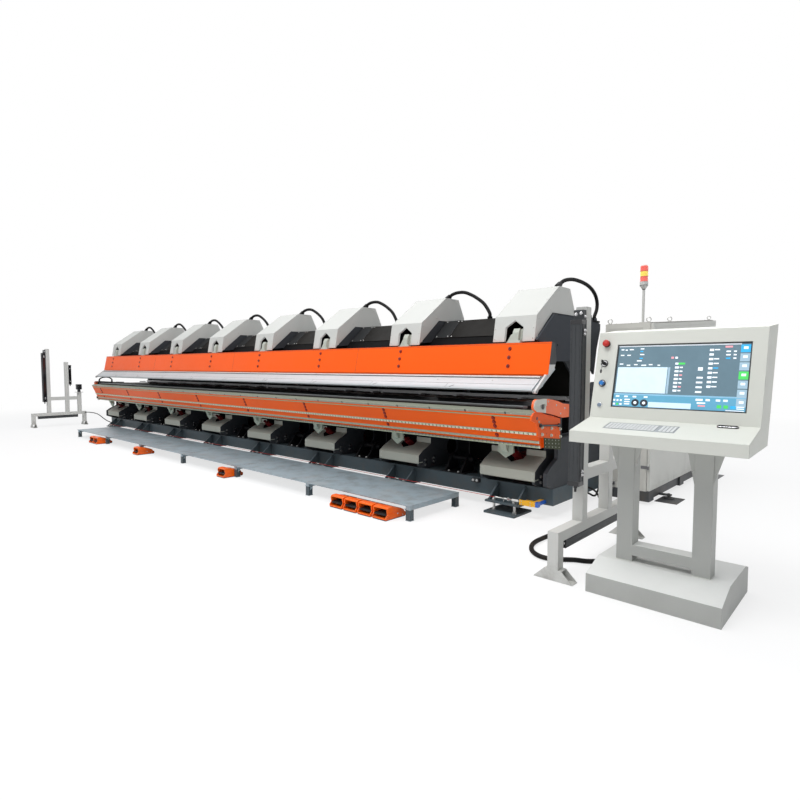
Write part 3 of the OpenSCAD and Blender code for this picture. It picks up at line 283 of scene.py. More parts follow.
ORANGE_WEAR, DEEP_WEAR = (240, 170, 120), (226, 160, 120)
PALE_WEAR, DESK_WEAR, CAB_WEAR = (236, 236, 232), (232, 232, 226), (225, 224, 218)
paint("orange", "orange_enamel", (250, 94, 6), 0.4, 0.03, wear_rgb=ORANGE_WEAR)
paint("orange_up", "folding_panel_enamel", (250, 92, 4), 0.4, 0.03, wear_rgb=ORANGE_WEAR,
      over=[(beam_end, (206, 206, 204)), (beam_end_top, (58, 60, 63))])
paint("orange_low", "orange_enamel_low", (236, 92, 10), wear_rgb=DEEP_WEAR,
      over=[(lambda t: t.band(t.axis(2), 0.9532, 0.978), (128, 132, 118))])
paint("cheek_orange", "fold_cheek_enamel", (240, 94, 14), 0.4, wear=0.4, wear_rgb=DEEP_WEAR)
paint("cover", "cover_powder_coat", (208, 208, 204), 0.48, 0.03, wear_rgb=PALE_WEAR)
paint("cover_low", "lower_cover_coat", (166, 168, 158), 0.5, wear=0.35, wear_rgb=(226, 226, 218), grime=0.5)
paint("cover_top", "head_cover_coat", (196, 197, 193), 0.48, 0.03, wear_rgb=PALE_WEAR,
      over=[(head_side, (30, 30, 32))])
paint("top_frame", "top_frame_paint", (20, 20, 21), 0.65, 0.12, wear=0.4, spec=0.04, wear_rgb=(110, 110, 112),
      over=[(lambda t: t.band(t.math("ABSOLUTE", t.axis(0)), 4.9105, 4.9336), (72, 75, 80))])
paint("pedal", "pedal_coat", (250, 104, 8), 0.34, coat=0.1, wear_rgb=(250, 200, 150),
      over=[(lambda t: t.below(t.axis(2), 0.0082), (44, 44, 62))])
# desk stand: the paler colour on its up-facing tops is a painted highlight, light from above put into the colour
paint("desk_foot", "desk_stand_coat_painted_top_light", (174, 175, 171), 0.5, 0.02, wear=0.25, wear_rgb=DESK_WEAR, grime=0.06,
      over=[(lambda t: t.ramp(t.upward(), 0.6, 0.9), (222, 223, 220)),
            (lambda t: t.below(t.axis(0), 5.9765), (34, 34, 36))])
paint("cab_body", "cabinet_body_paint", (204, 203, 196), 0.48, 0.03, wear_rgb=CAB_WEAR,
      over=[(lambda t: t.below(t.axis(1), 0.4555), (120, 120, 122))])
paint("cab_door", "cabinet_door_paint", (206, 206, 200), 0.46, 0.03, wear_rgb=CAB_WEAR,
      over=[(lambda t: t.above(t.axis(0), 5.5722), (40, 40, 42))])
paint("dark", "dark_structure_paint", (60, 63, 67), 0.5, 0.08, spec=0.18, wear=0.5, wear_rgb=(140, 142, 144))
paint("black", "black_structure_paint", (24, 24, 26), 0.5, 0.1, wear=0.5, spec=0.08, wear_rgb=(120, 120, 120))
paint("base", "blue_grey_base_paint", (74, 86, 92), 0.46, 0.08, wear=0.55, wear_rgb=(150, 162, 168), grime=0.6)
paint("step", "step_plate_paint", (150, 166, 174), 0.38, 0.06, spec=0.4, wear=0.6, wear_rgb=(200, 208, 210), grime=0.7)
paint("desk", "desk_powder_coat", (212, 213, 205), 0.5, 0.025, wear=0.25, wear_rgb=DESK_WEAR, grime=0.25)
paint("stand", "stand_powder_coat", (200, 200, 196), 0.5, 0.04, wear=0.35, wear_rgb=(206, 206, 202))
paint("unit", "curtain_housing_paint", (66, 68, 70), 0.45, spec=0.18, wear_rgb=(140, 140, 142))
paint("cabinet", "cabinet_paint", (192, 191, 184), 0.48, 0.03, wear_rgb=CAB_WEAR)
paint("plinth", "plinth_paint", (74, 76, 79), 0.5, 0.08, wear=0.5, wear_rgb=(130, 130, 130), grime=0.6)
paint("gear_red", "gear_unit_paint", (98, 22, 24), 0.4, 0.1, wear=0.4, wear_rgb=(170, 110, 100))
paint("olive", "olive_cover_plate", (52, 58, 34), 0.5, 0.12, wear=0.5)
paint("gloss_black", "bay_panel_lacquer", (22, 20, 18), 0.5, 0.3, spec=0.06, wear_rgb=(90, 90, 90))
paint("bay_grey", "bay_plate_paint", (44, 45, 46), 0.65, 0.1, wear=0.4, spec=0.05)
paint("lever_green", "lever_coat", (166, 178, 164), 0.45)
paint("lever_pale", "upper_lever_coat", (176, 180, 170), 0.5, wear_rgb=(220, 220, 212))
paint("seam", "seam_shadow_line", (58, 58, 60), 0.6, 0.2, wear=0.2)
# near-black colour of the rear closing sheets: painted shade for the view through the machine
paint("inside", "rear_sheet_painted_shade", (30, 29, 28), 0.6, 0.15, wear=0.2, spec=0.08)
steel("jaw", "ground_jaw_steel", (188, 194, 197), 0.42, 0.3, fade=(1.176, 1.132))
steel("steel", "zinc_plated_steel", (196, 196, 194), 0.34, 0.9, 2)
steel("chrome", "hard_chrome", (216, 216, 218), 0.16, 1.0, 0, 0.04)
steel("gauge", "gauge_bar_steel", (176, 176, 178), 0.36)
steel("pale_bolt", "zinc_bolt", (196, 204, 190), 0.3, 0.7, 2)
steel("rail_pale", "rail_strip", (214, 214, 210), 0.35, 0.4)
steel("alu", "anodised_profile", (120, 122, 126), 0.38, 0.7, 2)
steel("foot_steel", "levelling_steel", (150, 152, 154), 0.4, 0.8, 2)
plastic("rubber", "hose_rubber", (18, 18, 19), 0.6, 0.0, 500, 0.25, spec=0.15)
plastic("black_plastic", "black_plastic", (28, 28, 30), 0.5, 0.05, spec=0.2)
plastic("red", "red_plastic", (196, 34, 28), 0.3, 0.4)
plastic("bolt_red", "dark_red_bolt", (150, 40, 22), 0.4)
plastic("blue", "blue_plastic", (36, 120, 196), 0.3, 0.4)
plastic("rope", "rope_sheath", (190, 38, 32), 0.45, 0.1)
plastic("ear_grey", "grey_plug", (120, 134, 150), 0.4)
plastic("bolt_black", "blackened_bolt", (40, 40, 42), coat=0.3)
plastic("window", "curtain_window", (18, 18, 22), 0.12, 0.8, 1200, 0.01)
plastic("yellow", "yellow_plastic", (240, 176, 10), coat=0.3)
plastic("white_part", "white_plastic", (224, 224, 220), 0.4)
plastic("pad", "rubber_pad", (30, 30, 32), 0.75, 0.0, 300, 0.4)
plastic("screen", "screen_glass", (62, 88, 112), 0.2, 0.6, 1200, 0.01, 0.25, 0)


def nose_material():
    """Orange at the desk's end, dark at the far end, with the inset cap left pale."""
    t = Tree("nose_enamel")
    x = t.axis(0)
    colour = t.mix(t.drift(0.9, 4), lin((240, 94, 20)), lin((255, 110, 30)))
    colour = t.mix(t.mul(t.above(x, 5.1395), t.below(t.axis(1), -0.824)), colour, lin((200, 200, 190)))
    colour = t.mix(t.below(x, 0.0), colour, lin((46, 47, 50)))
    return t.surface(colour, t.gloss(12, 5, 0.7, 0.25, 0.25), 0.0, t.noise(520, 2, 0.5), 0.12, 0.004, 0.4,
                     (235, 200, 170), 0.2, 0.2)


def strip_material():
    """Guard strips: plain grey lips, a green line, and pale perforated tracks with dark slots."""
    t = Tree("guard_strips")
    x, z = t.axis(0), t.axis(2)
    upper, lower, top = t.band(z, 0.748, 0.781), t.band(z, 0.657, 0.686), t.band(z, 0.926, 0.956)
    track, hole_pitch, clip_pitch = t.add(upper, lower), 0.045, 0.42
    colour = t.mix(t.noise(1.0, 4, 0.7, (2, 200, 200)), lin((150, 160, 140)), lin((184, 192, 172)))
    for mask, rgb in ((track, (214, 220, 198)), (t.mul(track, t.every(x, hole_pitch, 0.36, 0.62)), (128, 140, 96)),
                      (t.mul(lower, t.every(x, hole_pitch, 0.62, 1.0)), (196, 206, 128)), (top, (150, 154, 140)),
                      (t.mul(top, t.every(x, clip_pitch, 0.48, 0.52)), (64, 66, 62)),
                      (t.band(z, 0.900, 0.922), (152, 178, 140)), (t.band(z, 0.60, 0.648), (118, 122, 112))):
        colour = t.mix(mask, colour, lin(rgb))
    return t.surface(colour, t.gloss(16, 5, 0.7, 0.3, 0.3), 0.35, t.noise(300, 3, 0.6), 0.1, 0.002, 0.4,
                     (220, 222, 212), 0.2)


def table_material():
    """Wooden slats on a dark frame."""
    t = Tree("support_slats")
    g = t.noise(1.0, 6, 0.7, (60, 3, 60))
    wood = t.mix(g, lin((44, 32, 24)), lin((112, 66, 44)))
    colour = t.mix(t.below(t.axis(2), 0.9745), wood, lin((38, 38, 40)))
    return t.surface(colour, t.add(t.mul(g, 0.3), 0.25), 0.0, g, 0.3, 0.003, 0.4, (150, 120, 90), 0.1, 0.2)


def lamp_material():
    """Three lens rings with fine ribs, and a paler cap."""
    t = Tree("lamp_lenses")
    z = t.axis(2)
    colour = lin((236, 104, 92))
    for height, rgb in ((2.2195, (246, 214, 92)), (2.2695, (232, 96, 84)), (2.3195, (222, 150, 140))):
        colour = t.mix(t.above(z, height), colour, lin(rgb))
    t.surface(colour, 0.28, 0.0, t.math("SINE", t.mul(z, 2400.0)), 0.2, 0.001, 0.1, (240, 220, 210), 0.0, 0.3)
    return t.glow(colour, 0.22)


def switch_material():
    """Pale switch body with red lines, then ribbed yellow, then a blue cap."""
    t = Tree("rope_switch_plastics")
    x = t.axis(0)
    yellow = t.above(x, 4.9245)
    body = t.mix(yellow, lin((206, 206, 204)), lin((240, 176, 10)))
    lines = t.mix(yellow, lin((176, 44, 40)), lin((232, 164, 8)))
    colour = t.mix(t.every(x, 0.03, 0.2, 0.5), body, lines)
    colour = t.mix(t.above(x, 5.022), colour, lin((28, 92, 190)))
    return t.surface(colour, t.gloss(40, 4, 0.6, 0.2, 0.25), 0.0, t.noise(700, 2, 0.5), 0.08, 0.0015, 0.2,
                     (236, 220, 160), 0.15, 0.3)


def key_material():
    """White keyboard body with cool grey key tops; the split follows the tray's slope."""
    t = Tree("keyboard_plastics")
    (y0, z0), (y1, z1) = (-1.953, 0.962), (-1.668, 1.022)
    tilt = math.atan2(z1 - z0, y1 - y0)
    h = t.math("SUBTRACT", t.mul(t.math("SUBTRACT", t.axis(2), z0), math.cos(tilt)),
               t.mul(t.math("SUBTRACT", t.axis(1), y0), math.sin(tilt)))
    colour = t.mix(t.above(h, 0.0008), lin((150, 153, 156)), lin((218, 219, 218)))
    return t.surface(colour, t.gloss(90, 4, 0.6, 0.2, 0.35), 0.0, t.noise(900, 2, 0.5), 0.05, 0.0008, 0.1,
                     (240, 240, 240), 0.1)


M.update(nose=nose_material(), strips=strip_material(), table=table_material(), lamp=lamp_material(),
         switch=switch_material(), keys=key_material())

FINISH = {
    "base": "base_frame foot_plates step_posts", "steel": "root_fasteners", "black": "lower_clamp_beam",
    "dark": "lower_arms end_frames clamp_barrels upper_arms upper_drives", "cover_low": "lower_covers",
    "jaw": "lower_jaw upper_jaw upper_fold_blade", "table": "support_table", "gear_red": "lower_drives",
    "chrome": "pivot_pins clamp_rods control_collars", "nose": "end_noses", "top_frame": "upper_frame",
    "cover_top": "upper_covers", "orange_up": "upper_fold_beam", "lever_pale": "upper_levers",
    "bolt_red": "upper_bolts lower_bolts", "orange_low": "lower_fold_beam", "strips": "lower_fold_strips",
    "lever_green": "lower_levers", "cheek_orange": "fold_cheeks", "gauge": "back_gauge", "step": "step_deck",
    "rope": "pull_rope", "switch": "rope_switch", "desk_foot": "desk_stand", "desk": "desk_housing",
    "screen": "desk_screen", "keys": "keyboard", "red": "estop_button", "blue": "blue_button",
    "black_plastic": "key_switch " + " ".join("treadle_%d" % (k + 1) for k in range(8)), "pedal": "pedals",
    "stand": "stands stack_pole", "unit": "light_curtains", "cab_body": "cabinet_bodies",
    "cab_door": "cabinet_door_1 cabinet_door_2", "plinth": "cabinet_plinth", "lamp": "stack_lamps",
}
for key, names in FINISH.items():
    for name in names.split():
        obj = nodes[name]
        if not obj.material_slots:
            obj.data.materials.append(M[key])
        for s in obj.material_slots:
            s.material = M[key]


# ---------------------------------------------------------------- pieces and cords
def finish_mesh(name, bm, mats, body, bevel=0.0, smooth_shade=False):
    """Makes one piece of the model from a bmesh, with its materials and body."""
    bmesh.ops.recalc_face_normals(bm, faces=bm.faces)
    me = bpy.data.meshes.new(name)
    bm.to_mesh(me)
    bm.free()
    obj = bpy.data.objects.new(name, me)
    scene.collection.objects.link(obj)
    for m in mats:
        me.materials.append(m)
    if bevel:
        b = obj.modifiers.new("bevel", "BEVEL")
        b.width = bevel
        b.segments = 2
        b.limit_method = "ANGLE"
        b.angle_limit = math.radians(35)
        b.harden_normals = True
    for p in me.polygons:
        p.use_smooth = bool(bevel or smooth_shade)
    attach(obj, body)
    return obj


def smooth(points, step):
    """Points on a centripetal curve through the given ones, about step apart."""
    p = [Vector(q) for q in points]
    p = [p[0] * 2 - p[1]] + p + [p[-1] * 2 - p[-2]]
    out = [p[1].copy()]
    for i in range(1, len(p) - 2):
        t = [0.0]
        for k in range(3):
            t.append(t[-1] + max((p[i + k] - p[i + k - 1]).length, 1e-6) ** 0.5)
        n = max(1, round((p[i + 1] - p[i]).length / step))
        for j in range(1, n + 1):
            u = t[1] + (t[2] - t[1]) * j / n
            a = [p[i - 1 + k].lerp(p[i + k], (u - t[k]) / (t[k + 1] - t[k])) for k in range(3)]
            b = [a[k].lerp(a[k + 1], (u - t[k]) / (t[k + 2] - t[k])) for k in range(2)]
            out.append(b[0].lerp(b[1], (u - t[1]) / (t[2] - t[1])))
    return out


def add_cord(name, pts_mm, dia, body, ribs=0.012, shift=0.0):
    """Hose through points in millimetres, moved by shift along x; ribs is the rib pitch in metres, 0 if plain."""
    around = 14
    pts = [Vector(q) / 1000 + Vector((shift, 0, 0)) for q in pts_mm]
    path = smooth(pts, ribs / 2 if ribs else dia * 0.8)
    bm = bmesh.new()
    rings, length, side = [], 0.0, None
    for i, c in enumerate(path):
        d = (path[min(i + 1, len(path) - 1)] - path[max(i - 1, 0)]).normalized()
        if side is None:
            side = d.orthogonal().normalized()
        side = (side - d * side.dot(d)).normalized()
        v = d.cross(side)
        if i:
            length += (c - path[i - 1]).length
        end = min(i, len(path) - 1 - i) < 2
        r = dia / 2 * (1 if (not ribs or end or i % 2 == 0) else 0.9)
        turns = [2 * math.pi * k / around for k in range(around)]
        rings.append([bm.verts.new(c + r * (side * math.cos(a) + v * math.sin(a))) for a in turns])
    for a, b in zip(rings, rings[1:]):
        for k in range(around):
            bm.faces.new((a[k], a[(k + 1) % around], b[(k + 1) % around], b[k]))
    bm.faces.new(list(reversed(rings[0])))
    bm.faces.new(rings[-1])
    obj = finish_mesh(name, bm, [M["rubber"]], body, smooth_shade=True)
    return obj


def up_yz(y, z):
    """Millimetres from the upper folding axis to world ones."""
    return (UP[0] * 1000 + y, UP[1] * 1000 + z)


def low_yz(y, z):
    """Millimetres from the lower folding axis to world ones."""
    return (LOW[0] * 1000 + y, LOW[1] * 1000 + z)


def to_shelf(out, yz):
    """Hose route from an outlet inwards along x and over the given (y, z), all from the upper folding axis."""
    n, shelf_x = len(yz) - 1, 206
    pts = [out, (out[0], out[1] + 30, out[2] + 17)]
    pts += [(shelf_x + (out[0] - shelf_x) * max(0, 1 - (i + 1) / n), y, z) for i, (y, z) in enumerate(yz)]
    return [(x, *up_yz(y, z)) for x, y, z in pts]


HOSE, CABLE = 0.038, 0.018  # diameters in metres
OUTLET = 192  # x of a head's hose outlet from the head's middle, in millimetres
REACH = PITCH * 560 - OUTLET  # from there to the hose's lower end
SAG = [(0.19, 821, 1028), (0.37, 817, 1022), (0.55, 811, 984), (0.71, 805, 934), (0.85, 799, 876), (0.95, 791, 808),
       (1, 785, 762), (1, 785, 736)]
top_pts = [(OUTLET, 825, 996), (OUTLET + 30, 825, 1013)] + [(OUTLET + f * REACH, y, z) for f, y, z in SAG]
top_pts = [(x, *up_yz(y, z)) for x, y, z in top_pts]
end_pts = to_shelf((186, 795, 996), [(885, 1040), (1045, 1070), (1205, 1072), (1325, 1062), (1435, 1042), (1535, 1004),
                                     (1606, 950), (1636, 884), (1622, 815), (1585, 768), (1560, 740), (1560, 720)])
small_pts = to_shelf((190, 1108, 742), [(1200, 785), (1290, 794), (1370, 782), (1430, 758), (1462, 738), (1462, 720)])
floor_pts = [(5400, 436, 160), (5400, 390, 160), (5400, 330, 148), (5399, 275, 118), (5398, 225, 76), (5396, 170, 40),
             (5394, 100, 22), (5390, 20, 19), (5378, -400, 19), (5356, -900, 19), (5342, -1080, 19), (5334, -1200, 19),
             (5334, -1330, 19), (5362, -1440, 19), (5426, -1540, 19), (5510, -1594, 19), (5590, -1594, 19),
             (5654, -1552, 19), (5720, -1502, 19), (5800, -1466, 19), (5866, -1446, 32), (5920, -1440, 56),
             (5957, -1440, 56)]
cable_a = [(5125, -100, 215), (5145, -100, 215), (5182, -92, 212), (5213, -62, 198), (5230, -14, 172), (5235, 38, 136),
           (5230, 88, 96), (5222, 136, 56), (5214, 180, 26), (5210, 222, 12), (5209, 262, 12), (5210, 303, 23),
           (5213, 334, 51), (5217, 348, 91), (5221, 364, 132), (5227, 395, 160), (5230, 416, 170), (5230, 436, 170)]
cable_b = [(5125, -10, 140), (5145, -10, 140), (5172, 0, 132), (5192, 24, 114), (5200, 60, 104), (5199, 100, 108),
           (5193, 150, 136), (5186, 200, 170), (5181, 250, 200), (5179, 300, 220), (5179, 360, 231), (5180, 405, 234),
           (5180, 436, 234)]
left_pts = [(-6614, -634, 284), (-6570, -634, 284), (-6440, -628, 292), (-6250, -618, 295), (-6056, -612, 292),
            (-5871, -609, 277), (-5692, -606, 240), (-5518, -600, 194), (-5345, -590, 158), (-5230, -576, 140),
            (-5165, -570, 134), (-5125, -570, 134)]
loop_pts = [(-5133, -808 + y, 1006 + z) for y, z in ((0, 46), (0, 60), (24, 84), (70, 104), (124, 110), (178, 104),
                                                     (224, 84), (248, 60), (248, 46))]

head_hoses = [add_cord("head_hose_%d" % (i + 1), top_pts, HOSE, "upper_clamp", shift=x)
              for i, x in enumerate(HEAD_X[:-1])]
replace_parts(head_hoses[0], "top_hoses")
add_cord("end_hose", end_pts, HOSE, "upper_clamp", shift=HEAD_X[-1])
add_cord("small_end_hose", small_pts, 0.028, "upper_clamp", ribs=0.01, shift=HEAD_X[-1])
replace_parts(add_cord("desk_hose", floor_pts, 0.035, "root"), "floor_hoses")
add_cord("cable_a", cable_a, CABLE, "root", ribs=0)
add_cord("cable_b", cable_b, CABLE, "root", ribs=0)
add_cord("stand_cable", left_pts, CABLE, "root", ribs=0)
add_cord("loop_hose", loop_pts, 0.026, "root", ribs=0.01)

# ---------------------------------------------------------------- detail geometry, given in millimetres
X, Y, Z, FRONT, DOWN = (1, 0, 0), (0, 1, 0), (0, 0, 1), (0, -1, 0), (0, 0, -1)
SIDES = (-1, 1)


def rect(a, b, c, d):
    """Outline of the rectangle from (a, b) to (c, d)."""
    return [(a, b), (c, b), (c, d), (a, d)]


class Face:
    """A sloping face from a to b, both (y, z), whose normal looks to the front, or to the back if asked."""

    def __init__(self, a, b, back=False):
        self.a = Vector(a)
        self.d = Vector((b[0] - a[0], b[1] - a[1])).normalized()
        n = Vector((-self.d.y, self.d.x))
        self.n = n if (n.x > 0) == back else -n
        self.out = (0, *self.n)
        self.length = (Vector(b) - self.a).length

    def at(self, h, out=0.0):
        """The (y, z) at a height up the face and a distance in front of it."""
        return tuple(self.a + self.d * h + self.n * out)

    def strip(self, h0, h1, near, far):
        """Outline of a strip between two heights, from near to far in front of the face."""
        return [self.at(h0, near), self.at(h1, near), self.at(h1, far), self.at(h0, far)]


class Shape:
    """A mesh put together from small solids, each with its own material index."""

    def __init__(self):
        self.bm = bmesh.new()

    def faces(self, verts, faces, m=0):
        vs = [self.bm.verts.new(Vector(v) / 1000) for v in verts]
        for f in faces:
            self.bm.faces.new([vs[i] for i in f]).material_index = m

    def prism(self, outline, k, a, b, m=0):
        """Outline in the two axes other than k, between a and b along axis k."""
        n = len(outline)
        verts = [(*q[:k], h, *q[k:]) for h in sorted((a, b)) for q in outline]
        sides = [(i, (i + 1) % n, n + (i + 1) % n, n + i) for i in range(n)]
        self.faces(verts, [tuple(range(n - 1, -1, -1)), tuple(range(n, 2 * n))] + sides, m)

    def box(self, p, q, m=0):
        """Box between two opposite corners."""
        lo, hi = zip(*(sorted(ends) for ends in zip(p, q)))
        self.prism(rect(lo[0], lo[1], hi[0], hi[1]), 2, lo[2], hi[2], m)

    def spun(self, c, d, rings, n=20, m=0):
        """Rings of (distance along d, radius) from centre c, closed at both ends."""
        d = Vector(d).normalized()
        u = (Vector(Z).cross(d) if abs(d.z) < 0.9 else d.orthogonal()).normalized()
        v = d.cross(u)
        c = Vector(c)
        turns = [2 * math.pi * j / n for j in range(n)]
        verts = [c + d * h + (u * math.cos(a) + v * math.sin(a)) * r for h, r in rings for a in turns]
        faces = [(i * n + j, i * n + (j + 1) % n, (i + 1) * n + (j + 1) % n, (i + 1) * n + j)
                 for i in range(len(rings) - 1) for j in range(n)]
        faces += [tuple(range(n - 1, -1, -1)), tuple(range((len(rings) - 1) * n, len(rings) * n))]
        self.faces(verts, faces, m)

    def bolt(self, c, d, r, m=0, washer=True):
        """Hexagon head with a chamfer, on a washer."""
        h = r * 0.3 if washer else 0
        if washer:
            self.spun(c, d, [(0, r * 1.35), (h * 0.8, r * 1.35), (h, r * 1.25)], 20, m)
        self.spun(c, d, [(h, r), (h + r * 0.75, r), (h + r * 0.9, r * 0.86)], 6, m)

    def screw(self, c, d, r, m=0, dark=1):
        """Button head with a hexagon socket."""
        self.spun(c, d, [(0, r), (r * 0.25, r), (r * 0.5, r * 0.8), (r * 0.62, r * 0.5)], 16, m)
        self.spun(c, d, [(r * 0.3, r * 0.42), (r * 0.66, r * 0.42)], 6, dark)

    def ring(self, c, d, big, small, n, k, m=0):
        """Torus around d, with n steps around and k across."""
        d = Vector(d).normalized()
        u = d.orthogonal().normalized()
        v = d.cross(u)
        c = Vector(c)
        verts, faces = [], []
        for i in range(n):
            a = 2 * math.pi * i / n
            w = u * math.cos(a) + v * math.sin(a)
            for j in range(k):
                b = 2 * math.pi * j / k
                verts.append(c + w * (big + small * math.cos(b)) + d * small * math.sin(b))
                nxt = (i + 1) % n
                faces.append((i * k + j, i * k + (j + 1) % k, nxt * k + (j + 1) % k, nxt * k + j))
        self.faces(verts, faces, m)

    def placed(self, origin, axes, build):
        """Runs build(shape) in local axes and moves the result to origin."""
        sub = Shape()
        build(sub)
        mt = Matrix([Vector(a) for a in axes]).transposed().to_4x4()
        mt.translation = Vector(origin) / 1000
        sub.bm.transform(mt)
        tmp = bpy.data.meshes.new("tmp")
        sub.bm.to_mesh(tmp)
        sub.bm.free()
        self.bm.from_mesh(tmp)
        bpy.data.meshes.remove(tmp)

    def on(self, face, u, h, build, out=0.0):
        """Runs build(shape) with x along the machine, y up the face and z out of it."""
        self.placed((u, *face.at(h, out)), (X, (0, *face.d), face.out), build)

    def done(self, name, mats, body, slot, bevel=0.0):
        """Ends the mesh; mats names its materials in the order of their indices."""
        finish_mesh(name, self.bm, [M[key] for key in mats.split()], body, bevel)


HX = [x * 1000 for x in HEAD_X]
HEAD_STEP = PITCH * 1000
COVER_SIDE = HEAD_W * 500
JAW = 0.649  # rise of the upper blade's face for each millimetre backwards


def jaw(dy, lift):
    """Point dy behind the upper blade's edge and lift above its lower face, as (y, z)."""
    return up_yz(dy, 4 + (dy - 4) * JAW + lift)


def head_screws():
    """Screws on the fronts, roofs and sides of the head covers."""
    s = Shape()
    roof, front = Face(up_yz(308, 673), up_yz(726, 969)), Face(up_yz(266, 441), up_yz(308, 673))
    for x in HX:
        for face, shares in ((roof, (0.1, 0.52, 0.93)), (front, (0.1, 0.5))):
            for f in shares:
                for dx in (-197, 197):
                    s.screw((x + dx, *face.at(face.length * f)), face.out, 6.5)
        for e in SIDES:
            for q in ((340, 640), (316, 480), (560, 740), (900, 745), (720, 930), (930, 935), (1030, 780)):
                s.screw((x + e * COVER_SIDE, *up_yz(*q)), (e, 0, 0), 6.5)
    s.done("head_cover_screws", "steel bolt_black", "upper_clamp", "bolt_steel")


def head_hems():
    """Folded hems of the head covers: the lip around the pentagon opening and the one under the lower edge."""
    s = Shape()
    pent = [(-92, 400), (-92, 568), (0, 633), (92, 568), (92, 400)]
    bottom, lip = 441, 16
    (ya, za), (yb, zb) = up_yz(266, bottom), up_yz(308, 673)

    def y_at(z):
        return ya + (yb - ya) * (z - za) / (zb - za)
    for x in HX:
        for p, q in zip(pent, pent[1:]):
            z0, z1 = (UP[1] * 1000 + max(v[1], bottom) for v in (p, q))
            if p[0] == q[0]:
                nx, nz = (5 if p[0] < 0 else -5), 0
            else:
                nx, nz = (2.9 if q[1] > p[1] else -2.9), -4.1
            rim = [(x + p[0], y_at(z0), z0), (x + q[0], y_at(z1), z1)]
            turned = [(x + q[0] + nx, y_at(z1) + lip, z1 + nz), (x + p[0] + nx, y_at(z0) + lip, z0 + nz)]
            inner = [(v[0], v[1] + 0.5, v[2]) for v in rim]
            inner += [(v[0] + math.copysign(1.5, nx), v[1], v[2]) for v in turned]
            s.faces(rim + turned + inner, [(0, 1, 2, 3), (7, 6, 5, 4), (0, 4, 5, 1), (1, 5, 6, 2), (2, 6, 7, 3),
                                           (3, 7, 4, 0)])
        for e in SIDES:
            s.prism(rect(*up_yz(266, 438), *up_yz(282, bottom)), 0, x + e * 213, x + e * 93)
    s.done("head_cover_hems", "cover", "upper_clamp", "cover_paint")


def bay_panels():
    """Lacquered panels on the top frame between the heads, with a plain plate and a handle beside each."""
    s = Shape()
    face = Face(up_yz(499, 504), up_yz(731, 710))
    top = face.length
    for x in HX[:-1]:
        x0, x1 = x + 232, x + HEAD_STEP - 232
        s.prism(face.strip(12, top - 8, 0.2, 9), 0, x0, x0 + 190, 1)
        s.prism(face.strip(12, top - 8, 0.2, 7), 0, x0 + 194, x1)
        for u, thick in ((x0 + 215, 7), (x1 - 20, 7), (x0 + 20, 9), (x0 + 170, 9)):
            for h in (30, top - 26):
                s.screw((u, *face.at(h, thick)), face.out, 7, 2, 3)
        for u in (x1 - 150, x1 - 60):
            s.spun((u, *face.at(top / 2, 7)), face.out, [(0, 9), (20, 9)], 12, 3)
        s.on(face, x1 - 150, top / 2, lambda q: q.box((-9, -8, -5), (99, 8, 5), 3), 7 + 24)
    s.done("bay_panels", "gloss_black bay_grey steel bolt_black", "upper_clamp", "black_paint", 0.0012)


def blade_rail():
    """Screwed strip between the orange panel and the blade, and the blade's joints and screws."""
    s = Shape()
    half = 5036
    face = Face((0, 0), (1, JAW))

    def flat(y0, y1, lo, hi):
        return [jaw(y0, lo), jaw(y1, lo), jaw(y1, hi), jaw(y0, hi)]
    s.prism(flat(140, 165.5, 14.1, 19), 0, -half, half)
    s.prism(flat(147, 159, 19, 24), 0, -half + 4, half - 4, 1)
    for i in range(48):
        x = -4940 + i * 210.2
        s.screw((x, *jaw(153, 24)), face.out, 4.5, 2, 0)
        if i % 3 == 0:
            s.screw((x + 60, *jaw(108, 14)), face.out, 6, 2, 0)
    slanted = (0.8, *(face.d * 0.6)), (-0.6, *(face.d * 0.8)), face.out
    for i in range(9):
        x = -4110 + i * 1027.5
        s.prism(flat(2, 58, 14, 14.6), 0, x, x + 3)
        s.placed((x + 70, *jaw(22, 14)), slanted, lambda q: q.box((-26, -3, 0), (26, 3, 0.8)))
    for y in (60, 62.5):
        s.prism(flat(y, y + 1.3, 14, 14.4), 0, -half, half, 3)
    s.done("blade_rail", "dark rail_pale steel alu", "upper_fold", "strip_metal")


def panel_edges():
    """Top hem lines, joint lines and fixing studs of the orange panel."""
    s = Shape()
    face = Face(up_yz(167, 145), up_yz(225, 425))
    for h in (271, 283):
        s.prism(face.strip(h, h + 1.6, 0.05, 0.7), 0, -5096, 5096, 1)
    for i in (-2, 0, 2):
        x = i * HEAD_STEP
        s.prism(face.strip(3, face.length - 3, 0.05, 0.5), 0, x, x + 2.2, 1)
    for x in HX:
        for drop in (54, 134, 214):
            s.spun((x, *face.at(face.length - drop, 12)), face.out, [(-0.5, 7), (0.6, 7), (0.8, 5)], 12, 2)
    s.done("panel_edges", "orange seam bolt_black", "upper_fold", "orange_paint")


def lower_face_detail():
    """Screws, slots and caps of the guard strips, and recessed rings around the beam's bolts."""
    s = Shape()
    face = Face(low_yz(-79, -52), low_yz(52, -359))
    for i in range(68):
        s.screw((-5040 + i * 150.4, *face.at(11, 3)), face.out, 4)
    for i in range(170):
        x = -5062 + i * 59.9
        for h in (193, 272):
            s.prism(face.strip(h - 2, h + 2, 9.02, 9.6), 0, x, x + 8, 1)
    for x in HX:
        for h in (70, 110, 150, 238):
            s.spun((x, *face.at(h, 0.1)), face.out, [(0, 19), (1.2, 19), (1.6, 16)], 24, 2)
    for h0, h1, thick in ((-1, 23, 4), (181, 205, 10), (261, 283, 10), (305, 331, 8)):
        for e in SIDES:
            s.prism(face.strip(h0, h1, 0.3, thick), 0, e * 5092, e * 5099.5)
    s.prism(face.strip(304, 312, 7, 12), 0, -5090, 5090, 3)
    s.done("guard_strip_detail", "pale_bolt seam gear_red alu", "lower_fold", "strip_metal")


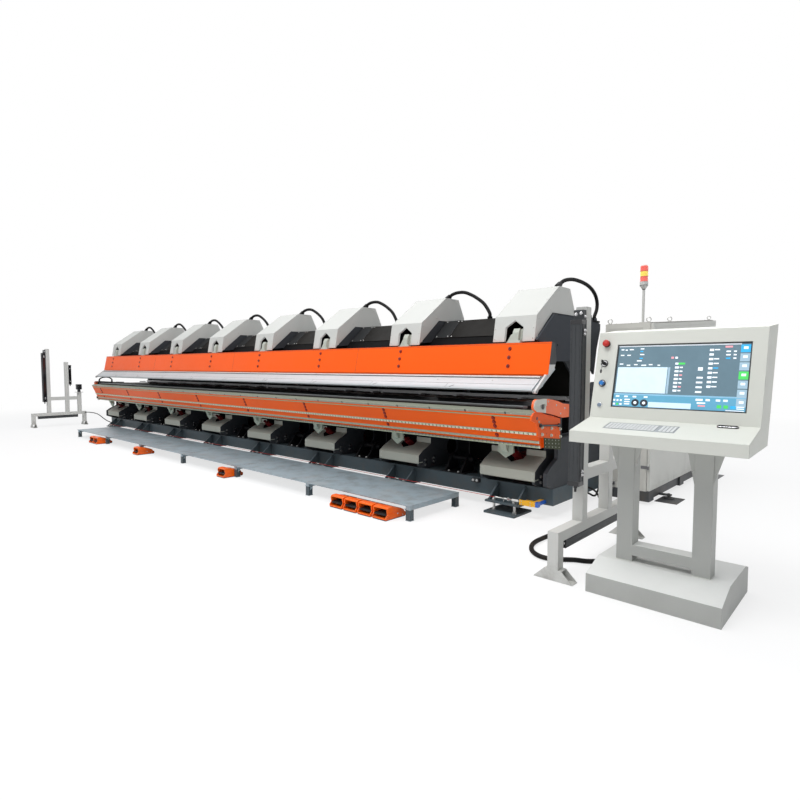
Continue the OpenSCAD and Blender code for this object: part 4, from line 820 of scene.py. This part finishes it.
def cheek_detail():
    """Bolts, pull rod and drilled plate on the fold cheek beside the desk, and a connector on the far one."""
    s = Shape()
    x = 5115
    for y, z in ((-844, 829), (-675, 808), (-512, 788), (-842, 770), (-678, 748), (-509, 722)):
        s.bolt((x, y, z), X, 11)
    s.prism([(-814, 738), (-803, 650), (-500, 603), (-503, 699)], 0, x + 0.2, x + 6, 1)
    for i in range(5):
        for j in range(3):
            s.screw((x + 6, -792 + i * 62 + j * 3, 722 - i * 8 - j * 31), X, 4.2, 0, 2)
    for y, z, rings, m in ((-875, 848, [(0.1, 17), (9, 17), (11, 14)], 2),
                           (-547, 824, [(0.1, 17), (12, 17), (14, 14)], 2),
                           (-930, 910, [(0.1, 13), (1.6, 13), (2.2, 10)], 2),
                           (-895, 880, [(0.1, 12), (1.6, 12), (2.2, 9)], 3)):
        s.spun((x, y, z), X, rings, 20, m)
    s.spun((x + 11, -875, 848), (0, 328, -24), [(-6, 8), (0, 8.5), (120, 8), (240, 8), (329, 8.5), (335, 8)], 14, 2)
    for y, z in ((-760, 822), (-600, 803), (-760, 768), (-600, 742)):
        s.spun((x, y, z), X, [(0.1, 4), (0.8, 4)], 10, 2)
    s.done("fold_cheek_detail", "pale_bolt olive bolt_black lever_green", "lower_fold", "bolt_steel", 0.0008)
    t = Shape()
    t.spun((-x, -833, 661), (-1, 0, 0), [(0.2, 24), (12, 26), (24, 22), (34, 12)])
    t.box((-5112, -880, 672), (-5101, -800, 720), 1)
    t.done("far_cheek_connector", "white_part bolt_black", "lower_fold", "black_plastic", 0.001)


def nose_detail():
    """Screws of the end nose beside the desk and of the bearing plate at the far end."""
    s = Shape()
    x = 5140
    for y, z in ((-935, 1020), (-800, 1046), (-640, 1006), (-480, 972), (-380, 962), (-380, 910), (-560, 930)):
        s.screw((x + (6 if y < -770 else 0), y, z), X, 8)
    s.spun((x + 4, -885, 1006), X, [(0.1, 22), (2, 22), (3, 19)], 24, 1)
    s.done("nose_screws", "steel bolt_black", "root", "bolt_steel")
    t = Shape()
    for y, z in ((-870, 1010), (-700, 1014), (-520, 985), (-380, 962), (-380, 910)):
        t.screw((-x, y, z), (-1, 0, 0), 8)
    t.done("bearing_plate_screws", "steel bolt_black", "root", "bolt_steel")


def base_detail():
    """Fins between the lower drives, floor plate bolts, weld beads and the rope's fittings."""
    s = Shape()
    fin = [(-575, 260.5), (-575, 286), (-520, 350), (-470, 425), (-440, 440), (-400, 440), (-372, 420), (-360, 260.5)]
    for x in HX[:-1]:
        c = x + HEAD_STEP / 2 + 60
        for left in (c - 11, c - 205):
            s.prism(fin, 0, left, left + 22)
        s.spun((c - 240, -425, 392), X, [(0, 26), (290, 26), (298, 22)])
        s.box((c - 235, -585, 260.2), (c + 45, -350, 268))
        for u in (c - 160, c - 40):
            s.bolt((u, -560, 268), Z, 10, 1)
    s.done("fin_brackets", "black steel", "root", "black_paint", 0.0012)
    w = Shape()
    bead = [(-603, 250), (-603, 258), (-600.2, 258), (-600.2, 112), (-604, 112)]
    for x in HX:
        for e in SIDES:
            w.prism(bead, 0, x + e * 145 - 12, x + e * 145 + 12)
            for y in (-770, -560):
                w.bolt((x + e * 138, y, 20), Z, 7, 1)
    w.done("foot_detail", "base foot_steel", "root", "base_paint", 0.0006)
    c = Shape()
    c.box((4262, -640, 214), (4342, -600.2, 252))
    for u in (4280, 4324):
        c.bolt((u, -640, 236), FRONT, 9, 1)
    y, z = -750, 140  # the pull rope's line
    for x in HX:
        c.spun((x + 14, y, z), X, [(0, 5), (2, 7), (22, 7), (24, 5)], 14, 1)
        c.box((x + 28, y - 4, z - 6), (x + 44, y + 4, z + 6), 1)
    c.spun((4600, y, z), X, [(0, 5), (6, 9), (20, 9), (24, 7), (96, 7), (100, 9), (114, 9), (120, 5)], 16, 1)
    c.ring((4742, y, z), Y, 13, 3, 24, 8, 1)
    c.ring((4764, y, z), Z, 12, 3, 24, 8, 1)
    c.spun((4776, y, z), X, [(0, 5), (6, 11), (40, 12), (62, 12), (72, 9)], 20, 2)
    c.box((4868, -771.5, 116), (4996, -771, 164), 3)
    for u in (4890, 4976):
        for h in (152, 128):
            c.bolt((u, -771, h), FRONT, 5, 1, False)
    c.done("rope_fittings", "bolt_black steel white_part yellow", "root", "bolt_steel", 0.0006)


def cover_detail():
    """Folded hems and screws of the lower drive covers."""
    s = Shape()
    for x in HX:
        for e in SIDES:
            for z in (352, 392):
                s.screw((x + e * 262, -708, z), FRONT, 6)
            for f in (0.2, 0.8):
                s.screw((x + e * 268, -634 + 126 * f, 461 + 59 * f), (0, -0.424, 0.906), 6)
            s.box((x + e * 287.5, -700, 330), (x + e * 289.1, -640, 340), 2)
        s.box((x - 284, -706, 322), (x + 284, -700, 328), 2)
    s.done("lower_cover_screws", "steel bolt_black cover_low", "root", "bolt_steel")


def step_detail():
    """Deck joints, post feet with gussets and fixing screws of the operator's step."""
    s = Shape()
    posts = [-4210 + 1400 * i for i in range(7)]
    for x in posts[1:-1]:
        x += 25
        s.box((x - 1.2, -1526, 137), (x + 1.2, -812, 137.4), 2)
        for y in (-1500, -1330, -1169, -1008, -840):
            for dx in (-24, 24):
                s.spun((x + dx, y, 137), Z, [(0, 7), (0.5, 7), (0.7, 5)], 14, 1)
    for x in posts:
        for y in (-1523, -865):
            s.box((x - 3, y - 3, 0.2), (x + 53, y + 53, 5))
            for edge, way, last in ((x + 50, 35, posts[-1]), (x, -35, posts[0])):
                if x != last:
                    s.prism([(edge, 60), (edge, 95), (edge + way, 95)], 1, y + 20, y + 28)
    s.done("step_detail", "step steel seam", "root", "step_paint", 0.0008)


PEDAL_X = [3420.5, 3613.5, 3806.5, 3999.5, 1300, -1222, -3121.5, -2928.5]
PEDAL_Y = -1662


def pedal_detail():
    """Hood seams, screws, marks and glands of the foot pedals, and the ribs on their treadles."""
    s = Shape()
    y = PEDAL_Y
    for x in PEDAL_X:
        for e in SIDES:
            side = x + e * 86
            s.prism(rect(y + 24, 57, y + 226, 61), 0, side, side + e * 2)
            s.screw((side, y + 150, 44), (e, 0, 0), 7, 1, 2)
            s.screw((side, y + 214, 24), (e, 0, 0), 5, 1, 2)
            s.prism([(y + 30, 12), (y + 60, 12), (y + 60, 30), (y + 30, 38)], 0, side, side + e * 1.5)
        for u in (x - 46, x - 12, x + 22):
            s.box((u, y + 50, 113.1), (u + 24, y + 78, 114.6))
        s.box((x - 77, y + 9, 8.1), (x + 77, y + 12, 17), 2)
        s.spun((x, y + 252, 26), Y, [(-2, 15), (4, 15), (6, 12), (7.8, 12)], 18, 2)
    s.done("pedal_detail", "orange steel bolt_black", "root", "pedal_orange", 0.0008)
    for k, x in enumerate(PEDAL_X):
        r = Shape()
        for along in range(20, 137, 13):
            a, z = y + along, 52 + (along - 14) * 10 / 126
            r.prism([(a, z - 0.5), (a + 6, z), (a + 5, z + 2.4), (a + 1, z + 2)], 0, x - 68, x + 68)
        r.done("treadle_ribs_%d" % (k + 1), "pad", "treadle_%d" % (k + 1), "black_plastic")


# ---------------------------------------------------------------- control desk
DESK_X = 6335
CONTROL_X = DESK_X - 403  # the column of buttons
SCREEN_X, SCREEN_S, SCREEN_W, SCREEN_H = DESK_X - 334, 72, 720, 396
TRAY = Face((-1953, 962), (-1668, 1022))
PANEL = Face((-1668, 1022), (-1530, 1552))
DESK_BACK = Face((-1460, 906), (-1262, 1580), back=True)
ESTOP_S, KEY_S, START_S = 474, 346, 219


def glow(key, rgb):
    """Softly lit colour for the screen's blocks."""
    t = Tree(key)
    c = lin(rgb)
    colour = t.mix(t.drift(14, 3), shade(c, 0.94), c)
    t.link(colour, t.bsdf.inputs["Base Color"])
    t.bsdf.inputs["Roughness"].default_value = 0.25
    M[key] = t.glow(colour, 0.55)


UI = {"ui_slate": (88, 112, 124), "ui_white": (226, 234, 240), "ui_pale": (196, 218, 232), "ui_band": (88, 150, 178),
      "ui_cyan": (52, 164, 216), "ui_green": (74, 196, 92), "ui_grey": (146, 172, 188), "ui_pink": (222, 150, 158),
      "ui_dark": (30, 38, 48), "ui_light_band": (126, 172, 198)}
for key, rgb in UI.items():
    glow(key, rgb)
SLATE, WHITE, PALE, BAND, CYAN, GREEN, GREY, PINK, DARK, LIGHT = range(10)


def page(q):
    """Generic blocks of the display; places and sizes are shares of the page, from its upper left corner."""
    w, h, glass = SCREEN_W, SCREEN_H, -9.9

    def block(x, y, wide, high, m=WHITE, z=0.9):
        q.box((x * w, h * (1 - y - high), glass), ((x + wide) * w, h * (1 - y), glass + z), m)

    def column(n, x, y, step, wide, high, odd=(), m=CYAN):
        """n blocks one below another; the odd ones have their own colour."""
        for k in range(n):
            block(x, y + k * step, wide, high, m if k in odd else WHITE)

    for x, y, wide, high, m, z in ((0.008, 0.012, 0.984, 0.976, SLATE, 0.3), (0.008, 0.012, 0.92, 0.022, WHITE, 0.5),
                                   (0.02, 0.36, 0.40, 0.40, PALE, 0.5), (0.425, 0.36, 0.016, 0.40, GREY, 0.5),
                                   (0.008, 0.775, 0.984, 0.213, BAND, 0.5), (0.008, 0.775, 0.984, 0.022, LIGHT, 0.7)):
        block(x, y, wide, high, m, z)
    for k in range(7):
        block(0.925, 0.035 + k * 0.128, 0.066, 0.112, {0: CYAN, 3: GREEN}.get(k, GREY), 0.8)
        block(0.943, 0.065 + k * 0.128, 0.03, 0.035, WHITE, 1.1)
    marks = ((0.03, 0.07, 0.025), (0.065, 0.075, 0.02), (0.10, 0.07, 0.035), (0.19, 0.06, 0.03), (0.19, 0.10, 0.024),
             (0.03, 0.16, 0.03), (0.085, 0.16, 0.03), (0.19, 0.15, 0.035), (0.19, 0.21, 0.026), (0.17, 0.25, 0.04),
             (0.03, 0.30, 0.03), (0.09, 0.32, 0.03), (0.15, 0.31, 0.03), (0.21, 0.32, 0.04), (0.27, 0.31, 0.03),
             (0.34, 0.32, 0.02))
    for i, (x, y, wide) in enumerate(marks):
        block(x, y, wide, 0.018, CYAN if i in (4, 8) else WHITE)
    column(8, 0.475, 0.29, 0.058, 0.03, 0.03)
    column(8, 0.512, 0.294, 0.058, 0.022, 0.02, (0, 3, 6), PINK)
    column(9, 0.715, 0.09, 0.067, 0.03, 0.032)
    column(1, 0.75, 0.094, 0.067, 0.035, 0.018)
    column(7, 0.75, 0.228, 0.067, 0.035, 0.018, (2,))
    column(4, 0.64, 0.5, 0.07, 0.045, 0.026)
    column(3, 0.83, 0.12, 0.05, 0.03, 0.02, (2,))
    column(3, 0.88, 0.12, 0.05, 0.02, 0.02)
    column(3, 0.105, 0.86, 0.035, 0.045, 0.018)
    for k in range(3):
        block(0.012 + k * 0.028, 0.87, 0.016, 0.03)
        block(0.012 + k * 0.028, 0.93, 0.018, 0.03, GREEN if k == 1 else WHITE)
    for m, blocks in ((WHITE, ((0.03, 0.81, 0.03, 0.024), (0.10, 0.81, 0.03, 0.024), (0.17, 0.81, 0.03, 0.024),
                               (0.26, 0.81, 0.03, 0.024), (0.47, 0.2, 0.02, 0.03), (0.645, 0.36, 0.034, 0.05),
                               (0.65, 0.82, 0.05, 0.03), (0.72, 0.82, 0.03, 0.03), (0.66, 0.87, 0.06, 0.022),
                               (0.79, 0.82, 0.03, 0.03), (0.84, 0.82, 0.03, 0.03), (0.93, 0.91, 0.05, 0.014),
                               (0.93, 0.935, 0.05, 0.014), (0.86, 0.965, 0.12, 0.012))),
                      (PINK, ((0.44, 0.2, 0.02, 0.03), (0.82, 0.05, 0.05, 0.026), (0.67, 0.91, 0.05, 0.022))),
                      (GREEN, ((0.80, 0.90, 0.03, 0.045), (0.845, 0.90, 0.03, 0.045))),
                      (PALE, ((0.30, 0.895, 0.32, 0.08),)), (CYAN, ((0.89, 0.905, 0.035, 0.04),))):
        for place in blocks:
            block(*place, m)
    block(0.498, 0.29, 0.05, 0.03, GREEN, 1.0)
    for x in (0.195, 0.265):
        for z, r, n, m in ((-9.6, 22, 28, DARK), (-9.0, 9, 20, WHITE)):
            q.spun((x * w, h * 0.085, z), Z, [(0, r), (1.2, r)], n, m)


def rim(q):
    """Black frame that closes the gap around the display; its upper bar is the darker one, a painted shadow under the
    top edge of the opening.
    """
    w, h, gap, bar = SCREEN_W, SCREEN_H, 0.4, 7
    for a, b, c, d in ((gap, gap, w - gap, bar), (gap, h - bar, w - gap, h - gap), (gap, bar, bar, h - bar),
                       (w - bar, bar, w - gap, h - bar)):
        # the upper bar takes index 0, the darker material, as painted shadow; the other bars take index 1
        q.box((a, b, -9.8), (c, d, -3), 0 if b > h / 2 else 1)


def tray_slot(q):
    """Recess with rounded ends in the tray, with a raised rim and two dark sockets."""
    n, r, long = 14, 12, 76
    half = [(math.cos(math.pi * (0.5 + i / n)) * r, math.sin(math.pi * (0.5 + i / n)) * r) for i in range(n + 1)]
    pts = half + [(long - x, -y) for x, y in half]
    q.prism(pts, 2, -13.8, -10)

    def wider(p):
        return (p[0] * 1.14 if p[0] < long / 2 else long + (p[0] - long) * 1.14, p[1] * 1.14)
    for a, b in zip(pts, pts[1:] + pts[:1]):
        oa, ob = wider(a), wider(b)
        verts = [(*a, -12), (*b, -12), (*ob, 0.05), (*oa, 0.05), (*a, 9), (*b, 9), (*ob, 7.5), (*oa, 7.5)]
        q.faces(verts, [(4, 5, 6, 7)], 2)
        q.faces(verts, [(0, 1, 5, 4), (2, 3, 7, 6), (3, 2, 1, 0)])
    for x in (14, 44):
        q.box((x, -6, -10), (x + 18, 6, -4), 2)
        q.box((x + 2, -3, -4), (x + 16, 3, -3.6))


def back_panel(q):
    """Service panel with two fields of louvres, screws and a lock."""
    q.box((-400, 60, 0.2), (400, 640, 3))
    for y in range(120, 303, 14):
        for c in (-250, 250):
            q.prism([(y, 3), (y + 10, 3), (y + 8, 8), (y + 1, 4)], 0, c - 90, c + 90)
    for x in (-380, 380):
        for y in (80, 350, 620):
            q.screw((x, y, 3), Z, 6, 1, 2)
    q.spun((340, 350, 3), Z, [(0, 16), (6, 16), (8, 13)], 24, 1)
    q.box((337, 338, 11), (343, 362, 12), 2)


def hanging_keys(q):
    """Key ring with a spare key and a tag, below the key switch."""
    q.ring((0, -14, 46), X, 13, 1.4, 28, 8)
    q.box((-1.2, -54, 38), (1.2, -22, 50))
    q.spun((0, -60, 44), X, [(-1.6, 12), (1.6, 12)], 20, 1)


def estop_trim(q):
    """Rolled edges of the mushroom button."""
    q.ring((0, 0, 24), Z, 20.4, 1.2, 36, 8)
    q.ring((0, 0, 31), Z, 10, 0.8, 28, 6)


def start_cap(q):
    """Domed cap of the blue button."""
    q.spun((0, 0, 13), Z, [(0, 13.4), (2, 14.2), (4, 14.2), (5.5, 12.6), (5.8, 9)], 28)


def desk_piece(name, mats, body, slot, bevel, face, u, h, build):
    """One piece of the desk, built at u along x and h up a face."""
    s = Shape()
    s.on(face, u, h, build)
    s.done(name, mats, body, slot, bevel)


def display():
    """Lit display with generic blocks, and the rim that seats it in the panel's opening."""
    at = PANEL, SCREEN_X, SCREEN_S
    desk_piece("screen_page", " ".join(UI), "root", "screen_glass", 0, *at, page)
    desk_piece("screen_rim", "bolt_black unit", "root", "black_plastic", 0.0012, *at, rim)


def desk_detail():
    """Button collars, tray slot, feet, back panel and the small parts on the desk's buttons."""
    s = Shape()
    for h in (ESTOP_S, KEY_S, START_S):
        s.on(PANEL, CONTROL_X, h, lambda q: q.ring((0, 0, 3.2), Z, 19.4, 3.0, 32, 10))
    s.on(PANEL, CONTROL_X, 80, lambda q: q.spun((0, 0, 6), Z, [(0, 13), (1.5, 13), (2.5, 11)], 24, 3))
    s.on(TRAY, DESK_X + 275, 255, tray_slot)
    for e in SIDES:
        for u, z in ((268, 880), (268, 760), (150, 880), (152, 760)):
            s.screw((DESK_X + e * u, -1702, z), FRONT, 6, 1, 0)
        foot = DESK_X + e * 209
        s.box((foot - 47.5, -1706.4, 173), (foot + 47.5, -1605.6, 177), 4)
    s.done("desk_fittings", "bolt_black steel chrome ear_grey desk", "root", "chrome", 0.0005)
    desk_piece("desk_back_panel", "desk steel bolt_black", "root", "desk_paint", 0.0008, DESK_BACK, DESK_X, 0,
               back_panel)
    desk_piece("hanging_keys", "steel bolt_black", "root", "chrome", 0, PANEL, CONTROL_X, KEY_S, hanging_keys)
    desk_piece("estop_trim", "red", "estop", "signal_red", 0, PANEL, CONTROL_X, ESTOP_S, estop_trim)
    desk_piece("start_cap", "blue", "start_button", "signal_blue", 0, PANEL, CONTROL_X, START_S, start_cap)


# x, front y, length, distance of the three posts from the front, and the way along x the curtains look
STANDS = [(5757, -1895, 1295, (346, 777, 1144), -1), (-6670, -1684, 1083, (301, 667, 916), 1)]


def stand_detail():
    """Windows, profiles, caps, brackets and bolts of the light curtains and their stands."""
    s = Shape()
    for x, front, length, (tall, middle, short), face in STANDS:
        y = front + tall
        near, back = x + face * 37.5, x - face * 37.5
        s.prism(rect(y - 60, 575, y - 15, 1620), 0, near, near + face * 1.5)
        for edge in (y - 62, y - 17):
            s.prism(rect(edge, 565, edge + 4, 1630), 0, back, back - face * 2.5, 5)
        for u in (x - 30, x - 4, x + 26):
            s.box((u, y - 76.2, 566), (u + 2, y - 75, 1630), 5)
        for z in (640, 1560):
            s.box((x - 41, y - 52, z - 26), (x + 41, y - 18, z + 26), 2)
            for e in SIDES:
                for dz in (-12, 12):
                    s.bolt((x + e * 41, y - 35, z + dz), (e, 0, 0), 7, 3)
        for half, y0, y1, ends in ((39, y - 77, y - 0.5, ((555, 585), (1612, 1640))),
                                   (30, front + middle + 72.5, front + middle + 134, ((930, 948), (1357, 1375)))):
            for z0, z1 in ends:
                s.box((x - half, y0, z0), (x + half, y1, z1), 2)
        for u, z in ((-18, 1678), (16, 1684)):
            s.bolt((x + u, y - 40, z), FRONT, 8, 3)
        s.bolt((x + 33.5, y - 22, 1664), X, 7, 3)
        s.spun((x, y - 40, 556), DOWN, [(0, 13), (18, 13), (20, 9), (44, 8), (46, 4)], 18, 2)
        for y0, z in ((y + 1, 1726), (front + middle - 1, 1442)):
            s.box((x - 35, y0, z - 0.6), (x + 35, y0 + 70, z + 2.4), 4)

        y = front + middle
        near = x + face * 28
        s.prism(rect(y + 80, 945, y + 124, 1360), 0, near, near + face * 1.5)
        s.spun((x, y + 108, 930), DOWN, [(0, 12), (16, 12), (18, 8), (36, 7)], 16, 2)
        for z in (1005, 1290):
            s.bolt((x + 28, y + 102, z), X, 7, 3)

        y = front + short
        near = x + face * 45
        s.prism(rect(y - 4, 830, y + 72, 920), 0, near, near + face * 3)
        s.spun((near, y + 34, 876), (face, 0, 0), [(0, 24), (10, 24), (14, 20), (14.5, 12)], 24)
        for u in (-54, 54):
            for v in (-20, 92):
                s.bolt((x + u, y + v, 753), Z, 6, 3)

        ends = front + 120, front + length - 180
        for y, e in zip(ends, SIDES):
            s.box((x - 31, y, 183), (x + 31, y + e * 3, 244), 2)
            for u in (-18, 18):
                s.screw((x + u, y + e * 3, 214), (0, e, 0), 7, 3, 2)
        for e in SIDES:
            for z in (196, 226):
                s.box((x + e * 30, ends[0], z), (x + e * 31.5, ends[1], z + 5), 5)
            for y in (front, front + length - 72):
                s.bolt((x + e * 102, y + 14, 4.2), Z, 5, 3)
    s.done("curtain_detail", "window alu bolt_black chrome stand unit", "root", "dark_paint", 0.0008)


def cabinet_detail():
    """Roof plates, end panels with louvres, and each door's handle, hinge lines and lock."""
    x0, x1, y0, y1, eaves = 5112, 5572, 456, 2796, 1757
    rise = 169 / (y1 - y0)
    roof = Face((y0, eaves), (y1, eaves + 169))
    wide, long = x1 - x0 - 40, (y1 - y0) / math.cos(math.atan(rise))

    def height(y):
        return eaves + rise * (y - y0)

    def roof_plates(q):
        q.box((8, 8, 0.2), (wide, long / 2 - 8, 4))
        q.box((8, long / 2 + 8, 0.2), (wide, long - 8, 4))
        for u in (60, 210, 360):
            for v in (120, long / 2 - 60, long / 2 + 60, long - 120):
                q.screw((u, v, 4), Z, 6, 1, 2)
    s = Shape()
    s.on(roof, x0, 0, roof_plates)
    for y, e in ((y0 - 0.2, -1), (y1 + 0.2, 1)):
        top = height(y) - 40
        s.box((x0 + 30, y, 190), (x1 - 96, y + e * 2.2, top))
        for z in (220, top / 2 + 100, top - 30):
            for x in (x0 + 48, x1 - 112):
                s.screw((x, y + e * 2.2, z), (0, e, 0), 5, 1, 2)
    a, b, near, far = x0 + 90, x1 - 140, y1 + 2.2, y1 + 12.2
    for z in range(1300, 1577, 24):
        s.faces([(a, near, z), (b, near, z), (b, far, z - 12), (a, far, z - 12), (a, near, z - 15), (b, near, z - 15)],
                [(0, 1, 2, 3), (3, 2, 5, 4), (0, 3, 4), (1, 5, 2), (0, 4, 5, 1)])
    s.done("cabinet_detail", "cabinet steel bolt_black seam", "root", "cabinet_paint", 0.0008)
    for k, lock in enumerate((1103, 1213)):
        f = Shape()
        a, b = y0 + k * 1170 + 30, y0 + (k + 1) * 1170 - 30
        x, y = x1 + 8, y0 + lock
        f.box((x1 + 0.2, y - 8, 962), (x1 + 5, y + 38, 1150), 2)
        f.prism([(x - 4, 985), (x + 22, 1000), (x + 22, 1016), (x + 4, 1024), (x - 4, 1110)], 1, y + 3, y + 25, 3)
        f.spun((x - 2, y + 14, 1128), X, [(0, 10), (5, 10), (6, 8)], 20, 1)
        f.box((x1 + 0.1, a, 170), (x1 + 1, b, 173))
        line = [(a, height(a) - 46), (b, height(b) - 46), (b, height(b) - 43), (a, height(a) - 43)]
        f.prism(line, 0, x1 + 0.1, x1 + 1)
        f.done("door_%d_fittings" % (k + 1), "cab_body steel bolt_black seam", "door_%d" % (k + 1), "cabinet_paint",
               0.0008)


def rear_panels():
    """Near-black closing sheets behind the drives, with a turned lip and screws, in every bay and in every head; their
    near-black is painted shade, standing for the shade seen through the machine.
    """
    s = Shape()
    cuts = [-5058] + [x + e * 286 for x in HX for e in SIDES] + [5058]
    spans = [(a + 1, b - 1, 1540) for a, b in zip(cuts[::2], cuts[1::2])]
    spans += [(x - 186, x + 186, 1540) for x in HX]
    spans += [(*sorted((x + e * 188, x + e * 260)), 955) for x in HX for e in SIDES]
    for a, b, top in spans:
        s.box((a, 203, 262), (b, 206, top))
        s.box((a, 188, top - 2), (b, 203, top))
        s.box((a, 192, 262), (b, 203, 265))
        n = max(1, round((b - a) / 260))
        for i in range(n):
            x = a + (b - a) * (i + 0.5) / n
            s.prism([(206, 300), (212, 304), (212, top - 44), (206, top - 40)], 0, x - 8, x + 8)
            for z in (280, top - 20):
                s.screw((x, 206, z), Y, 6, 1, 2)
                s.screw((x, 203, z), FRONT, 6, 1, 2)
    s.done("rear_panels", "inside steel bolt_black", "root", "black_paint", 0.0008)


def lever_plates():
    """Pale cover plate on every upper lever, seen through the pentagon hole."""
    def plate(q):
        q.prism([(-66, 0), (-60, 20), (-34, 74), (24, 100), (84, 128), (84, 0)], 2, -4, 0)
        q.prism([(-66, 0), (-66, 12), (84, 12), (84, 0)], 2, 0, 3)
        for x in (-12, 38):
            q.screw((x, 26, 0), Z, 5, 1, 2)
    s = Shape()
    face = Face(up_yz(270, 430), up_yz(297, 556))
    for x in HX:
        s.on(face, x, 0, plate)
        s.box((x - 60, *up_yz(240, 424.5)), (x + 80, *up_yz(272, 430)))
    s.done("lever_plates", "lever_pale steel bolt_black", "upper_fold", "cover_paint", 0.001)


def lamp_detail():
    """Rings between the lamps of the stack and the screws of its foot."""
    s = Shape()
    x, y = 5420, 608
    for z in (2169.3, 2219.3, 2269.3):
        s.spun((x, y, z), Z, [(0, 37.9), (1.5, 37.9)], 36)
    s.spun((x, y, 2132), Z, [(0, 38.3), (4, 38.3), (5, 38)], 36)
    for k in range(4):
        u, v = (28 * turn(k * math.pi / 2 + 0.6) for turn in (math.cos, math.sin))
        s.screw((x + u, y + v, 1776.5 + 0.0722 * v), Z, 4, 1, 2)
    s.spun((x, y, 2092), Z, [(0, 13.4), (3, 15.5), (10, 15.5), (14, 16.5)], 24)
    s.done("stack_rings", "unit steel bolt_black", "root", "lamp_plastic")


def rear_detail():
    """Fittings seen from behind: clamp cylinder caps, ports, gauge rail screws, slat screws and pivot caps."""
    s, g, t, p = Shape(), Shape(), Shape(), Shape()
    for x in HX:
        for z in (560, 720):
            s.spun((x, 534, z), Y, [(-2, 13), (8, 13), (10, 10), (20, 10), (22, 7)], 16)
        for z in (470, 930):
            s.ring((x, 480, z), Z, 55.5, 3.5, 40, 8, 1)
        for e in SIDES:
            for d in (-12, 12):
                g.screw((x + e * 260 + d, 540, 1023), Z, 5)
            p.spun((x + e * 290.5, 300, 1067), (e, 0, 0), [(0, 48), (5, 48), (7, 45)], 36)
            for k in range(6):
                a = k * math.pi / 3
                p.bolt((x + e * 297.5, 300 + 34 * math.cos(a), 1067 + 34 * math.sin(a)), (e, 0, 0), 5, 1, False)
    for x in range(-4840, 4837, 164):
        g.screw((x, 690, 1043), Z, 5)
    for i in range(-28, 29):
        for y in (-218, 102):
            t.screw((i * 165, y, 1000), Z, 5)
    s.done("cylinder_fittings", "steel bolt_black", "barrels", "bolt_steel")
    g.done("gauge_screws", "steel bolt_black", "gauge", "bolt_steel")
    t.done("slat_screws", "steel bolt_black", "root", "bolt_steel")
    p.done("pivot_caps", "dark steel", "root", "dark_paint")


for build in (head_screws, head_hems, bay_panels, blade_rail, panel_edges, lower_face_detail, cheek_detail, nose_detail,
              base_detail, cover_detail, step_detail, pedal_detail, display, desk_detail, stand_detail,
              cabinet_detail, lamp_detail, rear_detail, rear_panels, lever_plates):
    build()


# ---------------------------------------------------------------- floor and light
def wire(tree, kind, *inputs, **props):
    """A new node whose first inputs are joined to sockets or set to values."""
    node = tree.nodes.new(kind)
    for k, v in props.items():
        setattr(node, k, v)
    for sock, v in zip(node.inputs, inputs):
        if isinstance(v, bpy.types.NodeSocket):
            tree.links.new(v, sock)
        else:
            sock.default_value = v
    return node.outputs


def seen_ray(tree):
    """1 for rays from the camera, from glossy bounces and through glass."""
    rays = wire(tree, "ShaderNodeLightPath")
    total = rays["Is Camera Ray"]
    for kind in ("Is Glossy Ray", "Is Transmission Ray"):
        total = wire(tree, "ShaderNodeMath", total, rays[kind], operation="MAXIMUM")[0]
    return total


bm = bmesh.new()
bmesh.ops.create_grid(bm, x_segments=1, y_segments=1, size=60)
me = bpy.data.meshes.new("floor")
bm.to_mesh(me)
bm.free()
floor = bpy.data.objects.new("floor", me)
floor.location = (0, 0, -0.001)
scene.collection.objects.link(floor)
fm = bpy.data.materials.new("pale_floor")
fm.use_nodes = True
me.materials.append(fm)
ft = fm.node_tree
shader = ft.nodes["Principled BSDF"]
shader.inputs["Base Color"].default_value = (0.93, 0.93, 0.93, 1)
shader.inputs["Roughness"].default_value = 0.85
reach = wire(ft, "ShaderNodeVectorMath", wire(ft, "ShaderNodeTexCoord")["Object"], operation="LENGTH")["Value"]
far = wire(ft, "ShaderNodeMapRange", reach, 7.0, 14.0, 0.72, 1.0, interpolation_type="SMOOTHSTEP")[0]
both = wire(ft, "ShaderNodeMath", far, seen_ray(ft), operation="MULTIPLY")[0]
white = wire(ft, "ShaderNodeEmission", (1, 1, 1, 1))[0]
ft.links.new(wire(ft, "ShaderNodeMixShader", both, shader.outputs[0], white)[0],
             ft.nodes["Material Output"].inputs[0])

world = bpy.data.worlds.new("studio")
world.use_nodes = True
scene.world = world
wt = world.node_tree
sky = wt.nodes["Background"]
sky.inputs["Color"].default_value = (0.86, 0.9, 0.96, 1)
sky.inputs["Strength"].default_value = 0.36
backdrop = wire(wt, "ShaderNodeBackground", (1, 1, 1, 1))[0]
wt.links.new(wire(wt, "ShaderNodeMixShader", seen_ray(wt), sky.outputs[0], backdrop)[0],
             wt.nodes["World Output"].inputs[0])
scene.view_settings.view_transform = "Standard"

for name, loc, aim, size, power in (("key_light", (0.5, -6.5, 9.5), (0.5, -0.4, 0.8), (14, 5), 640),
                                    ("desk_light", (5.2, -3.4, 6.5), (6.3, -1.5, 0.9), (3, 3), 150),
                                    ("top_light", (0, 1.0, 8.5), (0, 0, 0), (14, 5), 420),
                                    ("side_light", (12.0, 2.0, 5.0), (5.0, 0, 1.0), (4, 4), 60),
                                    ("rear_light", (0, 10.0, 5.0), (0, 0.5, 1.0), (14, 4), 300)):
    d = bpy.data.lights.new(name, "AREA")
    d.shape = "RECTANGLE"
    d.size, d.size_y = size
    d.energy = power
    o = bpy.data.objects.new(name, d)
    o.location = loc
    o.rotation_euler = (Vector(aim) - Vector(loc)).to_track_quat("-Z", "Y").to_euler()
    scene.collection.objects.link(o)
